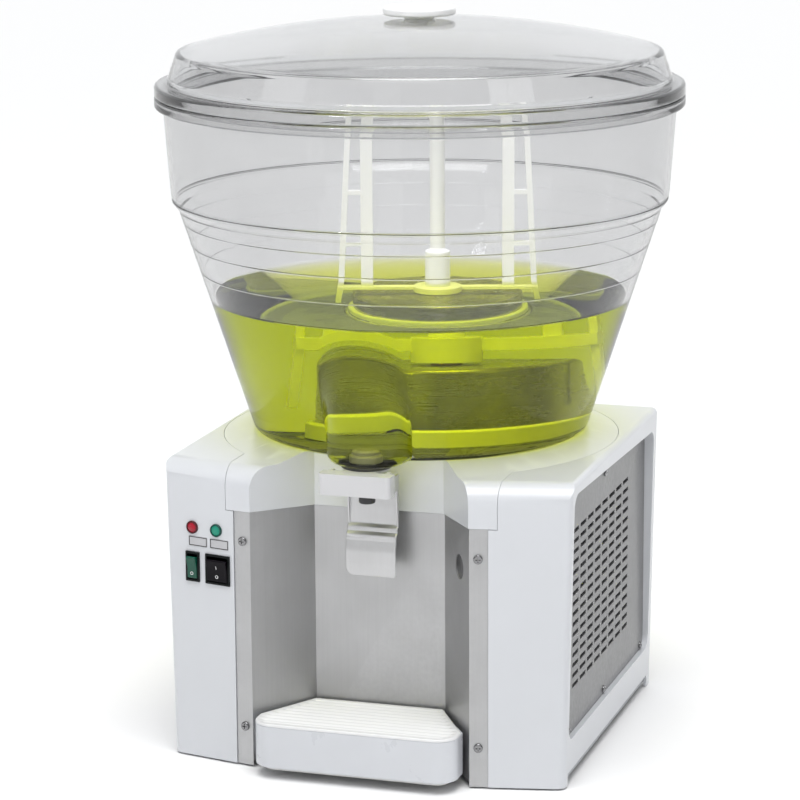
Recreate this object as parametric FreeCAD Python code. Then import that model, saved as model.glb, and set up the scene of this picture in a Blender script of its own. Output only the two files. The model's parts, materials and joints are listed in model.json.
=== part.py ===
"""Refrigerated single-bowl juice dispenser, as separate pieces, in millimetres.

X points right, Y to the back and Z up. The origin lies on the floor below the
axis of the round bowl. The cabinet stands on rubber feet, the bowl and its tap
lift off, and the stirrer turns about the cooling drum behind the bowl's axis.
"""

import FreeCAD
import Part

import math
import os
from FreeCAD import Vector

# Cabinet driving dimensions
FOOT_HEIGHT = 6.0
GROUND_GAP = 2.0
BODY_TOP = 306.0
FRONT_Y = -210.0
BACK_Y = 170.0
BASE_HALF_WIDTH = 203.0
SIDE_DRAFT = 0.020
CORNER_SETBACK = 20.0
CORNER_RADIUS = 9.5
FRONT_TOP_RADIUS = 21.0
SIDE_TOP_RADIUS = 6.0
SHELL_WALL = 3.0
SIDE_RAIL_HEIGHT = 14.0
CORNER_FOOT = 12.0
BACK_PANEL_THICKNESS = 2.0
BACK_SCREW_INSET = 13.0
BACK_SCREW_LOW_Z = 40.0
BACK_SCREW_TOP_DROP = 26.0
BACK_FLANGE_WIDTH = 28.0
BACK_SLOT_COLUMNS = 7
BACK_SLOT_ROWS = 10
BACK_SLOT_PITCH_X = 34.0
BACK_SLOT_PITCH_Z = 15.0
BACK_SLOT_LENGTH = 26.0
BACK_SLOT_HEIGHT = 5.0
BACK_SLOT_FIRST_X = -118.0
BACK_SLOT_FIRST_Z = 100.0
TOOL_REACH = 400.0

# Cup recess and its folded panel
FRONT_PANEL_WIDTH = 91.5
MOUTH_HALF = BASE_HALF_WIDTH - FRONT_PANEL_WIDTH
RECESS_HALF = 67.0
RECESS_DEPTH = 67.0
STRIP_WIDTH = 18.5
SHEET = 1.2
PANEL_SETBACK = 1.2
PANEL_BOTTOM = 6.5
FASCIA_HEIGHT = 43.5
FASCIA_UNDERCUT = 5.2
FASCIA_GAP = 0.3
FINGER_HOLE_RADIUS = 12.5
FINGER_HOLE_DROP = 46.0
FINGER_HOLE_FROM_MOUTH = 0.40
STRIP_SCREW_LOW_Z = 41.8
STRIP_SCREW_TOP_DROP = 30.5
SCREW_HEAD_RADIUS = 4.6
SCREW_HEAD_HEIGHT = 2.2
SCREW_SHANK_RADIUS = 1.9
SCREW_SHANK_LENGTH = 8.0
STRIP_FLANGE_WIDTH = 16.0

# Bowl, lid and knob
BOWL_WALL = 4.0
SEAT_RISE = 7.0
CONE_BOTTOM_RADIUS = 170.0
CONE_HEIGHT = 228.0
CONE_FLARE = 74.0
STEP_HEIGHT = 8.0
STEP_WIDTH = 6.2
LIP_HEIGHT = 8.0
LIP_WIDTH = 1.1
BAND_HEIGHT = 86.0
BAND_FLARE = 6.2
FLANGE_WIDTH = 8.5
FLANGE_THICKNESS = 11.0
FLANGE_CHAMFER = 1.5
DRUM_HOLE_GAP = 6.0
NOSE_RADIUS = 42.0
NOSE_OUTSIDE_CONE = 1.0
NOSE_FOOT_RADIUS = 10.0
NOSE_FOOT_FLATS = 4
NOSE_HEIGHT = 139.0
LID_GAP = 0.3
LID_WALL = 3.5
LID_FLANGE_THICKNESS = 11.5
LID_FLANGE_CHAMFER = 3.0
LID_SKIRT_INSET = 13.0
LID_SKIRT_DRAFT = 9.5
LID_SKIRT_HEIGHT = 31.2
LID_SHOULDER_FILLET = 6.0
LID_DOME_RISE = 31.0
LID_SPIGOT_GAP = 3.5
LID_SPIGOT_DEPTH = 8.0
KNOB_RADIUS = 36.5
KNOB_THICKNESS = 8.0
KNOB_BOSS_RADIUS = 15.0
KNOB_BOSS_HEIGHT = 3.5
KNOB_SEAT_GAP = 0.1
KNOB_SCREW_RADIUS = 3.0
KNOB_SCREW_GAP = 0.3
KNOB_SCREW_REACH = 8.0
KNOB_NUT_RADIUS = 9.0
KNOB_NUT_HEIGHT = 5.0

# Top cover and seat of the bowl
COVER_LOBE_WIDTH = 8.7
COVER_SEAM = 0.4
COVER_WALL = 3.0
DISH_SIDE_MARGIN = 1.0
DISH_RADIUS = BASE_HALF_WIDTH - DISH_SIDE_MARGIN
SEAT_MARGIN = 2.0
DECK_DROP = 7.0
DECK_SHEET = 3.0
DECK_SIDE_INSET = 6.0
DECK_FRONT_INSET = 10.5
CORNER_CHAMFER = 8.0

# Side window and vent insert
WINDOW_FRONT_INSET = 32.0
WINDOW_BACK_INSET = 13.0
WINDOW_BOTTOM = 46.0
WINDOW_FRONT_DROP = 12.0
WINDOW_BACK_DROP = 22.0
WINDOW_RADIUS = 14.0
WINDOW_RIM = 2.5
INSERT_SETBACK = 4.5
INSERT_THICKNESS = 2.5
INSERT_CLEARANCE = 0.2
VENT_COLUMNS = 8
VENT_ROWS = 16
VENT_FRONT_MARGIN = 34.0
VENT_BOTTOM_MARGIN = 44.1
VENT_PITCH_Y = 29.3
VENT_PITCH_Z = 10.42
VENT_SLOT_LENGTH = 22.5
VENT_SLOT_HEIGHT = 4.2
INSERT_SCREW_FRONT_MARGIN = 18.0
INSERT_SCREW_BACK_MARGIN = 15.0
INSERT_SCREW_MIDDLE_Y = -18.0
INSERT_SCREW_Z = 51.5
INSERT_SCREW_RADIUS = 3.6

# Controls on the left front panel, placed from the outer edge of its strip
LAMP_RADIUS = 5.7
LAMP_DROP = 66.5
PLATE_WIDTH = 21.0
PLATE_HEIGHT = 10.0
PLATE_DROP = 80.4
PLATE_THICKNESS = 0.6
SWITCH_DROP = 106.6
SWITCH_HEIGHT = 30.6
SWITCH_PROUD = 2.0
SWITCH_DEPTH = 18.0
NARROW_SWITCH_FROM_STRIP = 47.2
NARROW_SWITCH_WIDTH = 16.0
WIDE_SWITCH_FROM_STRIP = 18.5
WIDE_SWITCH_WIDTH = 28.4
RED_LAMP_FROM_STRIP = 47.2
GREEN_LAMP_FROM_STRIP = 19.8
LEFT_PLATE_FROM_STRIP = 41.0
RIGHT_PLATE_FROM_STRIP = 16.6
ROCKER_SWING = 12.5
ROCKER_TILT = 8.0
ROCKER_PIVOT_DEPTH = 2.0
ROCKER_GAP = 0.4
SWITCH_RIM = 2.2

# Cooling drum, stirrer and drive
DRUM_RADIUS = 88.0
DRUM_BACK_INSET = 22.0
DRUM_Y = BACK_Y - DRUM_BACK_INSET - DRUM_RADIUS
DRUM_HEIGHT = 101.0
DRUM_WALL = 1.5
DRUM_EDGE_RADIUS = 5.0
DRUM_FLANGE_OVERLAP = 3.0
DRUM_FLANGE_THICKNESS = 2.0
COIL_GAP = 0.2
COIL_BACKING = 3.0
COIL_TURNS = 10
SEAL_LIP_RISE = 18.0
SEAL_GAP = 0.3
SHAFT_RADIUS = 4.0
SHAFT_CLEARANCE = 0.05
BUSH_RADIUS = 8.0
BUSH_LENGTH = 12.0
BUSH_HEAD_RADIUS = 11.0
BUSH_HEAD_HEIGHT = 2.5
DRIVE_HEAD_FLATS = 14.0
DRIVE_HEAD_HEIGHT = 11.0
DRIVE_GAP = 0.3
STIRRER_ANGLE = 17.0
STIRRER_BASE_RADIUS = 25.0
STIRRER_BASE_HEIGHT = 26.5
STIRRER_TOP_DROP = 29.0
COLUMN_RADIUS = 13.0
COLUMN_SHOULDER_RISE = 56.0
UPPER_COLUMN_RADIUS = 7.75
COLUMN_WALL = 2.5
ARM_WIDTH = 12.0
ARM_RISE = 11.5
THICK_POST_X = 73.0
THICK_POST_WIDTH = 12.4
THICK_POST_DEPTH = 7.0
LEG_DRUM_GAP = 13.0
LEG_LEAN = 10.0
LEG_WIDTH = 6.0
LEG_FLOOR_GAP = 33.0
CROSSBAR_DROPS = (137.0, 82.0, 13.0)
CROSSBAR_HEIGHT = 4.6

# Tap
TAP_OUTSIDE_CONE = 10.0
GASKET_RADIUS = 25.0
GASKET_THICKNESS = 3.0
SPIGOT_RADIUS = 8.7
SPIGOT_BORE = 6.2
NOSE_HOLE_RADIUS = 9.0
NUT_RADIUS = 13.0
NUT_HEIGHT = 7.0
VALVE_HEAD_RADIUS = 11.0
VALVE_HEAD_HEIGHT = 4.5
VALVE_GAP = 0.3
STEM_RADIUS = 3.5
HOUSING_HALF_WIDTH = 36.5
HOUSING_REACH = 42.0
HOUSING_DEPTH = 17.0
HOUSING_HEIGHT = 21.0
HOUSING_WALL = 2.5
HOUSING_CORNER = 5.0
BOSS_RADIUS = 13.0
NOZZLE_RADIUS = 8.2
NOZZLE_BORE = 5.0
NOZZLE_LENGTH = 16.0
LEVER_HALF_WIDTH = 26.0
LEVER_SHEET = 2.6
LEVER_PIVOT_REACH = 23.0
LEVER_PIVOT_DROP = 14.0
LEVER_PIN_RADIUS = 2.5
LEVER_EYE_RADIUS = 5.0
LEVER_BACK_REACH = 20.0
LEVER_BEND_DROP = 56.0
LEVER_STEP = 10.0
LEVER_PADDLE_LENGTH = 45.0
LEVER_PADDLE_RADIUS = 6.0
LIFT_WING_HALF = 25.0
LIFT_WING_THICKNESS = 4.0
LIFT_WING_HEIGHT = 2.0
LIFT_WING_GAP = 0.5

# Drip tray
TRAY_HEIGHT = 42.5
TRAY_BOTTOM = 12.5
TRAY_PROUD = 31.0
TRAY_MOUTH_INSET = 7.5
TRAY_CORNER = 22.0
TRAY_WALL = 2.5
TRAY_CLEARANCE = 2.5
GRID_THICKNESS = 2.5
GRID_RIBS = 9
GRID_SLOT_WIDTH = 3.6
GRID_MARGIN = 9.0
GRID_BRIDGE = 5.0
TONGUE_INSET = 9.0
TONGUE_TAIL = 23.0
TONGUE_GAP = 0.3

# Refrigeration and drive inside the cabinet
PAN_SIDE_INSET = 3.1
PAN_FRONT_INSET = 5.6
PAN_SHEET = 2.0
PAN_RIM = 12.0
FOOT_RADIUS = 14.0
FOOT_SIDE_INSET = 35.0
FOOT_FRONT_INSET = 45.0
FOOT_BACK_INSET = 28.0
FOOT_CHAMFER = 2.0
POST_SIZE = 18.0
POST_SHEET = 2.0
POST_SIDE_INSET = 21.0
POST_FRONT_INSET = 42.0
POST_BACK_INSET = 10.0
COMPRESSOR_X = -95.0
COMPRESSOR_Y = 70.0
COMPRESSOR_RADIUS = 62.0
COMPRESSOR_BOTTOM = 22.0
COMPRESSOR_HEIGHT = 158.0
TERMINAL_WIDTH = 22.0
TERMINAL_LOW = 50.0
TERMINAL_HIGH = 96.0
GROMMET_RADIUS = 9.0
GROMMET_SPREAD = 58.0
CONDENSER_SIDE_INSET = 61.0
CONDENSER_DEPTH = 38.0
CONDENSER_Y0 = -146.0
CONDENSER_WIDTH = 172.0
CONDENSER_Z0 = 78.0
CONDENSER_HEIGHT = 176.0
CONDENSER_FINS = 24
FIN_THICKNESS = 1.2
CONDENSER_TUBE_RADIUS = 4.0
CONDENSER_TUBE_ROWS = 6
SHROUD_SHEET = 2.0
SHROUD_GAP = 1.0
SHROUD_LIP = 3.0
FAN_RADIUS = 68.0
FAN_BLADES = 5
FAN_BLADE_WIDTH = 30.0
FAN_BLADE_PITCH = 22.0
FAN_HUB_RADIUS = 17.0
FAN_DEPTH = 18.0
FAN_TIP_GAP = 4.0
FAN_MOTOR_RADIUS = 24.0
FAN_MOTOR_LENGTH = 38.0
STIR_MOTOR_SIZE = 70.0
GEARBOX_DROP = 16.0
GEARBOX_HEIGHT = 44.0
STIR_MOTOR_RADIUS = 29.0
STIR_MOTOR_LENGTH = 62.0
PIPE_RADIUS = 3.2
PIPE_BEND = 16.0
RISER_X = -40.0
RISER_FROM_DRUM = 40.0
SUCTION_PORT_X = -20.0
SUCTION_RISE = 60.0
SUCTION_PLUNGE = 22.0
DISCHARGE_PORT_X = 10.0
DISCHARGE_RISE = 34.0
DISCHARGE_RUN = 62.0
LIQUID_RUN = 60.0
DRIER_SIDE_STEP = 50.0
DRIER_RISE = 26.0
DRIER_RADIUS = 10.0
DRIER_LENGTH = 92.0
RELAY_WIDTH = 46.0
RELAY_DEPTH = 38.0
RELAY_HEIGHT = 74.0
RELAY_SIDE_INSET = 17.0
RELAY_FRONT_INSET = 60.0
THERMOSTAT_X = 20.0
THERMOSTAT_Z = 40.0
THERMOSTAT_WIDTH = 46.0
THERMOSTAT_DEPTH = 30.0
THERMOSTAT_HEIGHT = 44.0
THERMOSTAT_SPINDLE = 8.0
GLAND_X = 120.0
GLAND_Z = 62.0
GLAND_RADIUS = 10.0
GLAND_BORE = 4.2
GLAND_LENGTH = 14.0

# Values worked out from the driving dimensions: cabinet
SPLAY_SLOPE = CORNER_SETBACK / (BASE_HALF_WIDTH - MOUTH_HALF)
SPLAY_ANGLE = math.degrees(math.atan(SPLAY_SLOPE))
STRIP_HALF = MOUTH_HALF + STRIP_WIDTH
OUTER_REACH = BASE_HALF_WIDTH + 30.0
SHELL_BACK_Y = BACK_Y - BACK_PANEL_THICKNESS
RECESS_Y = FRONT_Y + RECESS_DEPTH
FASCIA_FRONT_Z = BODY_TOP - FASCIA_HEIGHT
FASCIA_BACK_Z = FASCIA_FRONT_Z - FASCIA_UNDERCUT
FINGER_HOLE_Z = FASCIA_FRONT_Z - FINGER_HOLE_DROP
STRIP_SCREW_HEIGHTS = (STRIP_SCREW_LOW_Z, FASCIA_FRONT_Z - STRIP_SCREW_TOP_DROP)
BACK_SCREW_X = BASE_HALF_WIDTH - BACK_SCREW_INSET
BACK_SCREW_TOP_Z = BODY_TOP - BACK_SCREW_TOP_DROP
BACK_SCREW_HEIGHTS = (BACK_SCREW_LOW_Z, (BACK_SCREW_LOW_Z + BACK_SCREW_TOP_Z) / 2, BACK_SCREW_TOP_Z)
COVER_HALF = STRIP_HALF + COVER_LOBE_WIDTH
SEAT_Z = BODY_TOP + SEAT_RISE
SEAT_RADIUS = CONE_BOTTOM_RADIUS + SEAT_MARGIN
DECK_TOP = BODY_TOP - DECK_DROP
DECK_BOTTOM = DECK_TOP - DECK_SHEET
PAN_TOP = FOOT_HEIGHT + PAN_SHEET
WINDOW_FRONT_Y = FRONT_Y + WINDOW_FRONT_INSET
WINDOW_BACK_Y = BACK_Y - WINDOW_BACK_INSET
WINDOW_TOP_FRONT = BODY_TOP - WINDOW_FRONT_DROP
WINDOW_TOP_BACK = BODY_TOP - WINDOW_BACK_DROP
INSERT_FACE_X = BASE_HALF_WIDTH - INSERT_SETBACK
VENT_FIRST_Y = WINDOW_FRONT_Y + VENT_FRONT_MARGIN
VENT_FIRST_Z = WINDOW_BOTTOM + VENT_BOTTOM_MARGIN
INSERT_SCREW_FRONT_Y = WINDOW_FRONT_Y + INSERT_SCREW_FRONT_MARGIN
INSERT_SCREW_BACK_Y = WINDOW_BACK_Y - INSERT_SCREW_BACK_MARGIN
INSERT_SCREW_Y = (INSERT_SCREW_FRONT_Y, INSERT_SCREW_MIDDLE_Y, INSERT_SCREW_BACK_Y)
LAMP_Z = BODY_TOP - LAMP_DROP
PLATE_Z = BODY_TOP - PLATE_DROP
SWITCH_Z = BODY_TOP - SWITCH_DROP
RED_LAMP_X = -STRIP_HALF - RED_LAMP_FROM_STRIP
GREEN_LAMP_X = -STRIP_HALF - GREEN_LAMP_FROM_STRIP
LEFT_PLATE_X = -STRIP_HALF - LEFT_PLATE_FROM_STRIP
RIGHT_PLATE_X = -STRIP_HALF - RIGHT_PLATE_FROM_STRIP
NARROW_SWITCH_X = -STRIP_HALF - NARROW_SWITCH_FROM_STRIP
WIDE_SWITCH_X = -STRIP_HALF - WIDE_SWITCH_FROM_STRIP

# Values worked out from the driving dimensions: bowl, lid, drum and stirrer
BOWL_BOTTOM = SEAT_Z
BOWL_FLOOR = BOWL_BOTTOM + BOWL_WALL
STEP_Z = BOWL_BOTTOM + CONE_HEIGHT
BAND_EDGE_Z = STEP_Z + STEP_HEIGHT
BAND_BOTTOM_Z = BAND_EDGE_Z + LIP_HEIGHT
BOWL_FLANGE_BOTTOM = BAND_BOTTOM_Z + BAND_HEIGHT
BOWL_TOP = BOWL_FLANGE_BOTTOM + FLANGE_THICKNESS
STEP_RADIUS = CONE_BOTTOM_RADIUS + CONE_FLARE
BAND_EDGE_RADIUS = STEP_RADIUS + STEP_WIDTH
BAND_BOTTOM_RADIUS = BAND_EDGE_RADIUS + LIP_WIDTH
BAND_TOP_RADIUS = BAND_BOTTOM_RADIUS + BAND_FLARE
FLANGE_RADIUS = BAND_TOP_RADIUS + FLANGE_WIDTH
LID_BOTTOM = BOWL_TOP + LID_GAP
LID_FLANGE_TOP = LID_BOTTOM + LID_FLANGE_THICKNESS
LID_SKIRT_RADIUS = FLANGE_RADIUS - LID_SKIRT_INSET
LID_SHOULDER_RADIUS = LID_SKIRT_RADIUS - LID_SKIRT_DRAFT
LID_SHOULDER_Z = LID_FLANGE_TOP + LID_SKIRT_HEIGHT
LID_DOME_TOP_Z = LID_SHOULDER_Z + LID_DOME_RISE
LID_SPIGOT_RADIUS = BAND_TOP_RADIUS - BOWL_WALL - LID_SPIGOT_GAP
DRUM_TOP = DECK_TOP + DRUM_HEIGHT
DRUM_HOLE_RADIUS = DRUM_RADIUS + DRUM_HOLE_GAP
DRUM_FLANGE_RADIUS = DRUM_HOLE_RADIUS + DRUM_FLANGE_OVERLAP
SEAL_LIP_HEIGHT = BOWL_FLOOR + SEAL_LIP_RISE
DRIVE_BASE_Z = DRUM_TOP + BUSH_HEAD_HEIGHT + DRIVE_GAP
STIRRER_TOP = BOWL_TOP - STIRRER_TOP_DROP
LEG_X = DRUM_RADIUS + LEG_DRUM_GAP
LEG_TOP_X = LEG_X - LEG_LEAN
LEG_BOTTOM = BOWL_FLOOR + LEG_FLOOR_GAP

# Values worked out from the driving dimensions: tap, tray and inner pieces
TAP_Y = -CONE_BOTTOM_RADIUS - TAP_OUTSIDE_CONE
NOSE_Y = -CONE_BOTTOM_RADIUS - NOSE_OUTSIDE_CONE
HOUSING_TOP = BOWL_BOTTOM - GASKET_THICKNESS
HOUSING_BOTTOM = HOUSING_TOP - HOUSING_HEIGHT
HOUSING_FRONT_Y = TAP_Y - HOUSING_REACH
NUT_TOP = BOWL_FLOOR + NUT_HEIGHT
NOZZLE_BOTTOM = HOUSING_BOTTOM - NOZZLE_LENGTH
LEVER_PIVOT_Y = TAP_Y - LEVER_PIVOT_REACH
LEVER_PIVOT_Z = HOUSING_TOP - LEVER_PIVOT_DROP
LEVER_BACK_Y = TAP_Y + LEVER_BACK_REACH
LEVER_BEND_Z = LEVER_PIVOT_Z - LEVER_BEND_DROP
LEVER_BOTTOM = LEVER_BEND_Z - LEVER_PADDLE_LENGTH
WING_BOTTOM = LEVER_PIVOT_Z + LEVER_EYE_RADIUS - 1.5
TRAY_TOP = TRAY_BOTTOM + TRAY_HEIGHT
TRAY_FRONT_Y = FRONT_Y - TRAY_PROUD
TRAY_HALF_WIDTH = MOUTH_HALF - TRAY_MOUTH_INSET
TONGUE_BACK_Y = RECESS_Y + TONGUE_TAIL
FOOT_X = BASE_HALF_WIDTH - FOOT_SIDE_INSET
FOOT_FRONT_Y = FRONT_Y + FOOT_FRONT_INSET
FOOT_BACK_Y = BACK_Y - FOOT_BACK_INSET
POST_X = BASE_HALF_WIDTH - POST_SIDE_INSET
POST_FRONT_Y = FRONT_Y + POST_FRONT_INSET
POST_BACK_Y = BACK_Y - POST_BACK_INSET
CONDENSER_X0 = BASE_HALF_WIDTH - CONDENSER_SIDE_INSET
GEARBOX_BOTTOM = DECK_BOTTOM - GEARBOX_DROP - GEARBOX_HEIGHT


def front_y(x):
    """Y of the splayed front plane at the distance x from the middle."""
    return FRONT_Y + (abs(x) - MOUTH_HALF) * SPLAY_SLOPE


def side_x(z):
    """Half width of the drafted body at the height z."""
    return BASE_HALF_WIDTH + SIDE_DRAFT * z


def box(x0, x1, y0, y1, z0, z1):
    """Box between two corners."""
    return Part.makeBox(x1 - x0, y1 - y0, z1 - z0, Vector(x0, y0, z0))


def rod(radius, start, end):
    """Cylinder from one point to another."""
    axis = Vector(*end) - Vector(*start)
    return Part.makeCylinder(radius, axis.Length, Vector(*start), axis)


def face_of(points):
    """Flat face inside a closed polygon of points."""
    ring = [Vector(*point) for point in points]
    ring.append(ring[0])
    return Part.Face(Part.makePolygon(ring))


def prism_z(points, z0, z1):
    """Upright prism on an outline in the XY plane."""
    face = face_of([(x, y, z0) for x, y in points])
    return face.extrude(Vector(0, 0, z1 - z0))


def prism_y(points, y0, y1):
    """Prism along Y on an outline in the XZ plane."""
    face = face_of([(x, y0, z) for x, z in points])
    return face.extrude(Vector(0, y1 - y0, 0))


def prism_x(points, x0, x1):
    """Prism along X on an outline in the YZ plane."""
    face = face_of([(x0, y, z) for y, z in points])
    return face.extrude(Vector(x1 - x0, 0, 0))


def turned(profile, x=0.0, y=0.0):
    """Solid turned about the vertical axis through (x, y), from radius and height pairs."""
    face = face_of([(radius, 0, z) for radius, z in profile])
    solid = face.revolve(Vector(0, 0, 0), Vector(0, 0, 1), 360)
    solid.translate(Vector(x, y, 0))
    return solid


def fuse_all(shapes):
    """One shape fused from several."""
    first = shapes[0]
    if len(shapes) == 1:
        return first
    return first.multiFuse(shapes[1:]).removeSplitter()


def mirrored(shape):
    """Mirror image across the middle plane."""
    return shape.mirror(Vector(0, 0, 0), Vector(1, 0, 0))


def tube(points, radius, bend):
    """Pipe along straight runs joined by tangent arcs."""
    spots = [Vector(*point) for point in points]
    edges = []
    start = spots[0]
    for index in range(1, len(spots) - 1):
        corner = spots[index]
        inward = (corner - spots[index - 1]).normalize()
        outward = (spots[index + 1] - corner).normalize()
        turn = inward.getAngle(outward)
        trim = bend * math.tan(turn / 2)
        arc_start = corner - inward * trim
        arc_end = corner + outward * trim
        middle_way = (outward - inward).normalize()
        centre = corner + middle_way * (bend / math.cos(turn / 2))
        arc_middle = centre - middle_way * bend
        edges.append(Part.LineSegment(start, arc_start).toShape())
        edges.append(Part.Arc(arc_start, arc_middle, arc_end).toShape())
        start = arc_end
    edges.append(Part.LineSegment(start, spots[-1]).toShape())
    path = Part.Wire(edges)
    way = (spots[1] - spots[0]).normalize()
    ring = Part.Wire([Part.makeCircle(radius, spots[0], way)])
    return path.makePipeShell([ring], True, True)


def round_over(inset, side):
    """Prism whose front top edge follows the rounded front of one tower."""
    radius = FRONT_TOP_RADIUS - inset
    top = BODY_TOP - inset
    depth = 1.5 * (BACK_Y - FRONT_Y)
    start = Vector(0, radius, top)
    corner = Vector(0, 0, top - radius)
    half = math.sqrt(0.5)
    middle = Vector(0, radius * (1 - half), top - radius * (1 - half))
    edges = [
        Part.Arc(corner, middle, start).toShape(),
        Part.LineSegment(start, Vector(0, depth, top)).toShape(),
        Part.LineSegment(Vector(0, depth, top), Vector(0, depth, -10)).toShape(),
        Part.LineSegment(Vector(0, depth, -10), Vector(0, 0, -10)).toShape(),
        Part.LineSegment(Vector(0, 0, -10), corner).toShape(),
    ]
    reach = 2 * OUTER_REACH
    bar = Part.Face(Part.Wire(edges)).extrude(Vector(2 * reach, 0, 0))
    bar.translate(Vector(-reach, inset, 0))
    bar.rotate(Vector(0, 0, 0), Vector(0, 0, 1), side * SPLAY_ANGLE)
    bar.translate(Vector(0, front_y(0), 0))
    return bar


def side_section(inset, y0, y1):
    """Drafted cross section of the body with rounded side top edges, along Y."""
    radius = SIDE_TOP_RADIUS - min(inset, SIDE_TOP_RADIUS - 1.0)
    top = BODY_TOP - inset
    reach = side_x(top) - inset
    low = side_x(0) - inset
    half = math.sqrt(0.5)
    right_top = Vector(reach - radius, y0, top)
    right_side = Vector(reach, y0, top - radius)
    right_mid = Vector(reach - radius * (1 - half), y0, top - radius * (1 - half))
    left_top = Vector(-right_top.x, y0, top)
    left_side = Vector(-reach, y0, top - radius)
    left_mid = Vector(-right_mid.x, y0, right_mid.z)
    edges = [
        Part.LineSegment(Vector(-low, y0, 0), Vector(low, y0, 0)).toShape(),
        Part.LineSegment(Vector(low, y0, 0), right_side).toShape(),
        Part.Arc(right_side, right_mid, right_top).toShape(),
        Part.LineSegment(right_top, left_top).toShape(),
        Part.Arc(left_top, left_mid, left_side).toShape(),
        Part.LineSegment(left_side, Vector(-low, y0, 0)).toShape(),
    ]
    return Part.Face(Part.Wire(edges)).extrude(Vector(0, y1 - y0, 0))


def tower_plan(inset, inner_x, back):
    """Plan of the right tower from its front line to its back."""
    rise = inset / math.cos(math.radians(SPLAY_ANGLE))
    return [
        (inner_x, front_y(inner_x) + rise),
        (OUTER_REACH, front_y(OUTER_REACH) + rise),
        (OUTER_REACH, back),
        (inner_x, back),
    ]


def tower_block(inset, inner_x, back):
    """Right tower as a full block, set in by a wall, with its corner rounded."""
    low = side_x(0) - inset
    high = side_x(BODY_TOP) - inset
    wedge = prism_y([(0, 0), (low, 0), (high, BODY_TOP), (0, BODY_TOP)], FRONT_Y - 40, back + 1)
    block = prism_z(tower_plan(inset, inner_x, back), 0, BODY_TOP).common(wedge)
    front_corner = [
        edge
        for edge in block.Edges
        if edge.Length > BODY_TOP * 0.9 and edge.BoundBox.XMin > low - 1 and edge.BoundBox.YMax < 0
    ]
    block = block.makeFillet(CORNER_RADIUS - min(inset, CORNER_RADIUS - 1.0), front_corner)
    block = block.common(side_section(inset, FRONT_Y - 40, back + 1))
    return block.common(round_over(inset, 1))


def window_outline(grow):
    """Corner points of the side window, grown outwards."""
    return [
        (WINDOW_FRONT_Y - grow, WINDOW_BOTTOM - grow),
        (WINDOW_BACK_Y + grow, WINDOW_BOTTOM - grow),
        (WINDOW_BACK_Y + grow, WINDOW_TOP_BACK + grow),
        (WINDOW_FRONT_Y - grow, WINDOW_TOP_FRONT + grow),
    ]


def window_prism(grow, x0, x1):
    """Prism along X through the side window, with rounded corners."""
    solid = prism_x(window_outline(grow), x0, x1)
    edges = [edge for edge in solid.Edges if abs(edge.tangentAt(edge.FirstParameter).x) > 0.99]
    return solid.makeFillet(WINDOW_RADIUS + grow, edges)


def cover_zone():
    """Space that the tower shells leave free for the top cover."""
    half = COVER_HALF + COVER_SEAM
    front = box(-half, half, FRONT_Y - OUTER_REACH, 0, FASCIA_FRONT_Z - 1.0, TOOL_REACH)
    dish = Part.makeCylinder(DISH_RADIUS + COVER_SEAM, TOOL_REACH, Vector(0, 0, DECK_TOP - 0.2))
    return front.fuse(dish)


def side_shell():
    """Right side shell with its front panel, window and corner feet."""
    outer = tower_block(0.0, STRIP_HALF + 0.3, SHELL_BACK_Y)
    inner = tower_block(SHELL_WALL, STRIP_HALF - 20.0, SHELL_BACK_Y + 1.0)
    shell = outer.cut(inner)
    rim = window_prism(WINDOW_RIM, INSERT_FACE_X - INSERT_THICKNESS, OUTER_REACH)
    rim = rim.common(tower_block(0.0, STRIP_HALF + 0.3, SHELL_BACK_Y))
    shell = shell.fuse(rim).cut(window_prism(0.0, INSERT_FACE_X - 20.0, OUTER_REACH))
    depth = (PANEL_SETBACK + SHEET) / math.cos(math.radians(SPLAY_ANGLE))
    flange_in = STRIP_HALF - STRIP_FLANGE_WIDTH
    flange_out = STRIP_HALF + 3.0
    flange = prism_z(
        [
            (flange_in, front_y(flange_in) + depth),
            (flange_out, front_y(flange_out) + depth),
            (flange_out, front_y(flange_out) + depth + SHELL_WALL),
            (flange_in, front_y(flange_in) + depth + SHELL_WALL),
        ],
        GROUND_GAP,
        FASCIA_FRONT_Z - 2.0,
    )
    step = prism_z(
        [
            (STRIP_HALF + 0.3, front_y(STRIP_HALF) + 0.5),
            (flange_out, front_y(flange_out) + 0.5),
            (flange_out, front_y(flange_out) + depth + SHELL_WALL),
            (STRIP_HALF + 0.3, front_y(STRIP_HALF) + depth + SHELL_WALL),
        ],
        GROUND_GAP,
        FASCIA_FRONT_Z - 2.0,
    )
    shell = shell.fuse([flange, step])
    shell = shell.cut(cover_zone())
    low_edge = box(0, OUTER_REACH, FRONT_Y - 40, BACK_Y + 20, -5, GROUND_GAP)
    corner_y = front_y(BASE_HALF_WIDTH) + CORNER_FOOT
    rail = box(
        STRIP_HALF + 30,
        OUTER_REACH,
        corner_y,
        SHELL_BACK_Y - CORNER_FOOT,
        -5,
        SIDE_RAIL_HEIGHT,
    )
    shell = shell.cut(low_edge).cut(rail)
    return shell.removeSplitter()


def on_left_front(shape, x, z):
    """Place a shape made facing -Y onto the left front panel."""
    placed = shape.copy()
    placed.rotate(Vector(0, 0, 0), Vector(0, 0, 1), -SPLAY_ANGLE)
    placed.translate(Vector(x, front_y(x), z))
    return placed


def on_right_front(shape, x, z):
    """Place a shape made facing -Y onto the right front plane."""
    placed = shape.copy()
    placed.rotate(Vector(0, 0, 0), Vector(0, 0, 1), SPLAY_ANGLE)
    placed.translate(Vector(x, front_y(x), z))
    return placed


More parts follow.
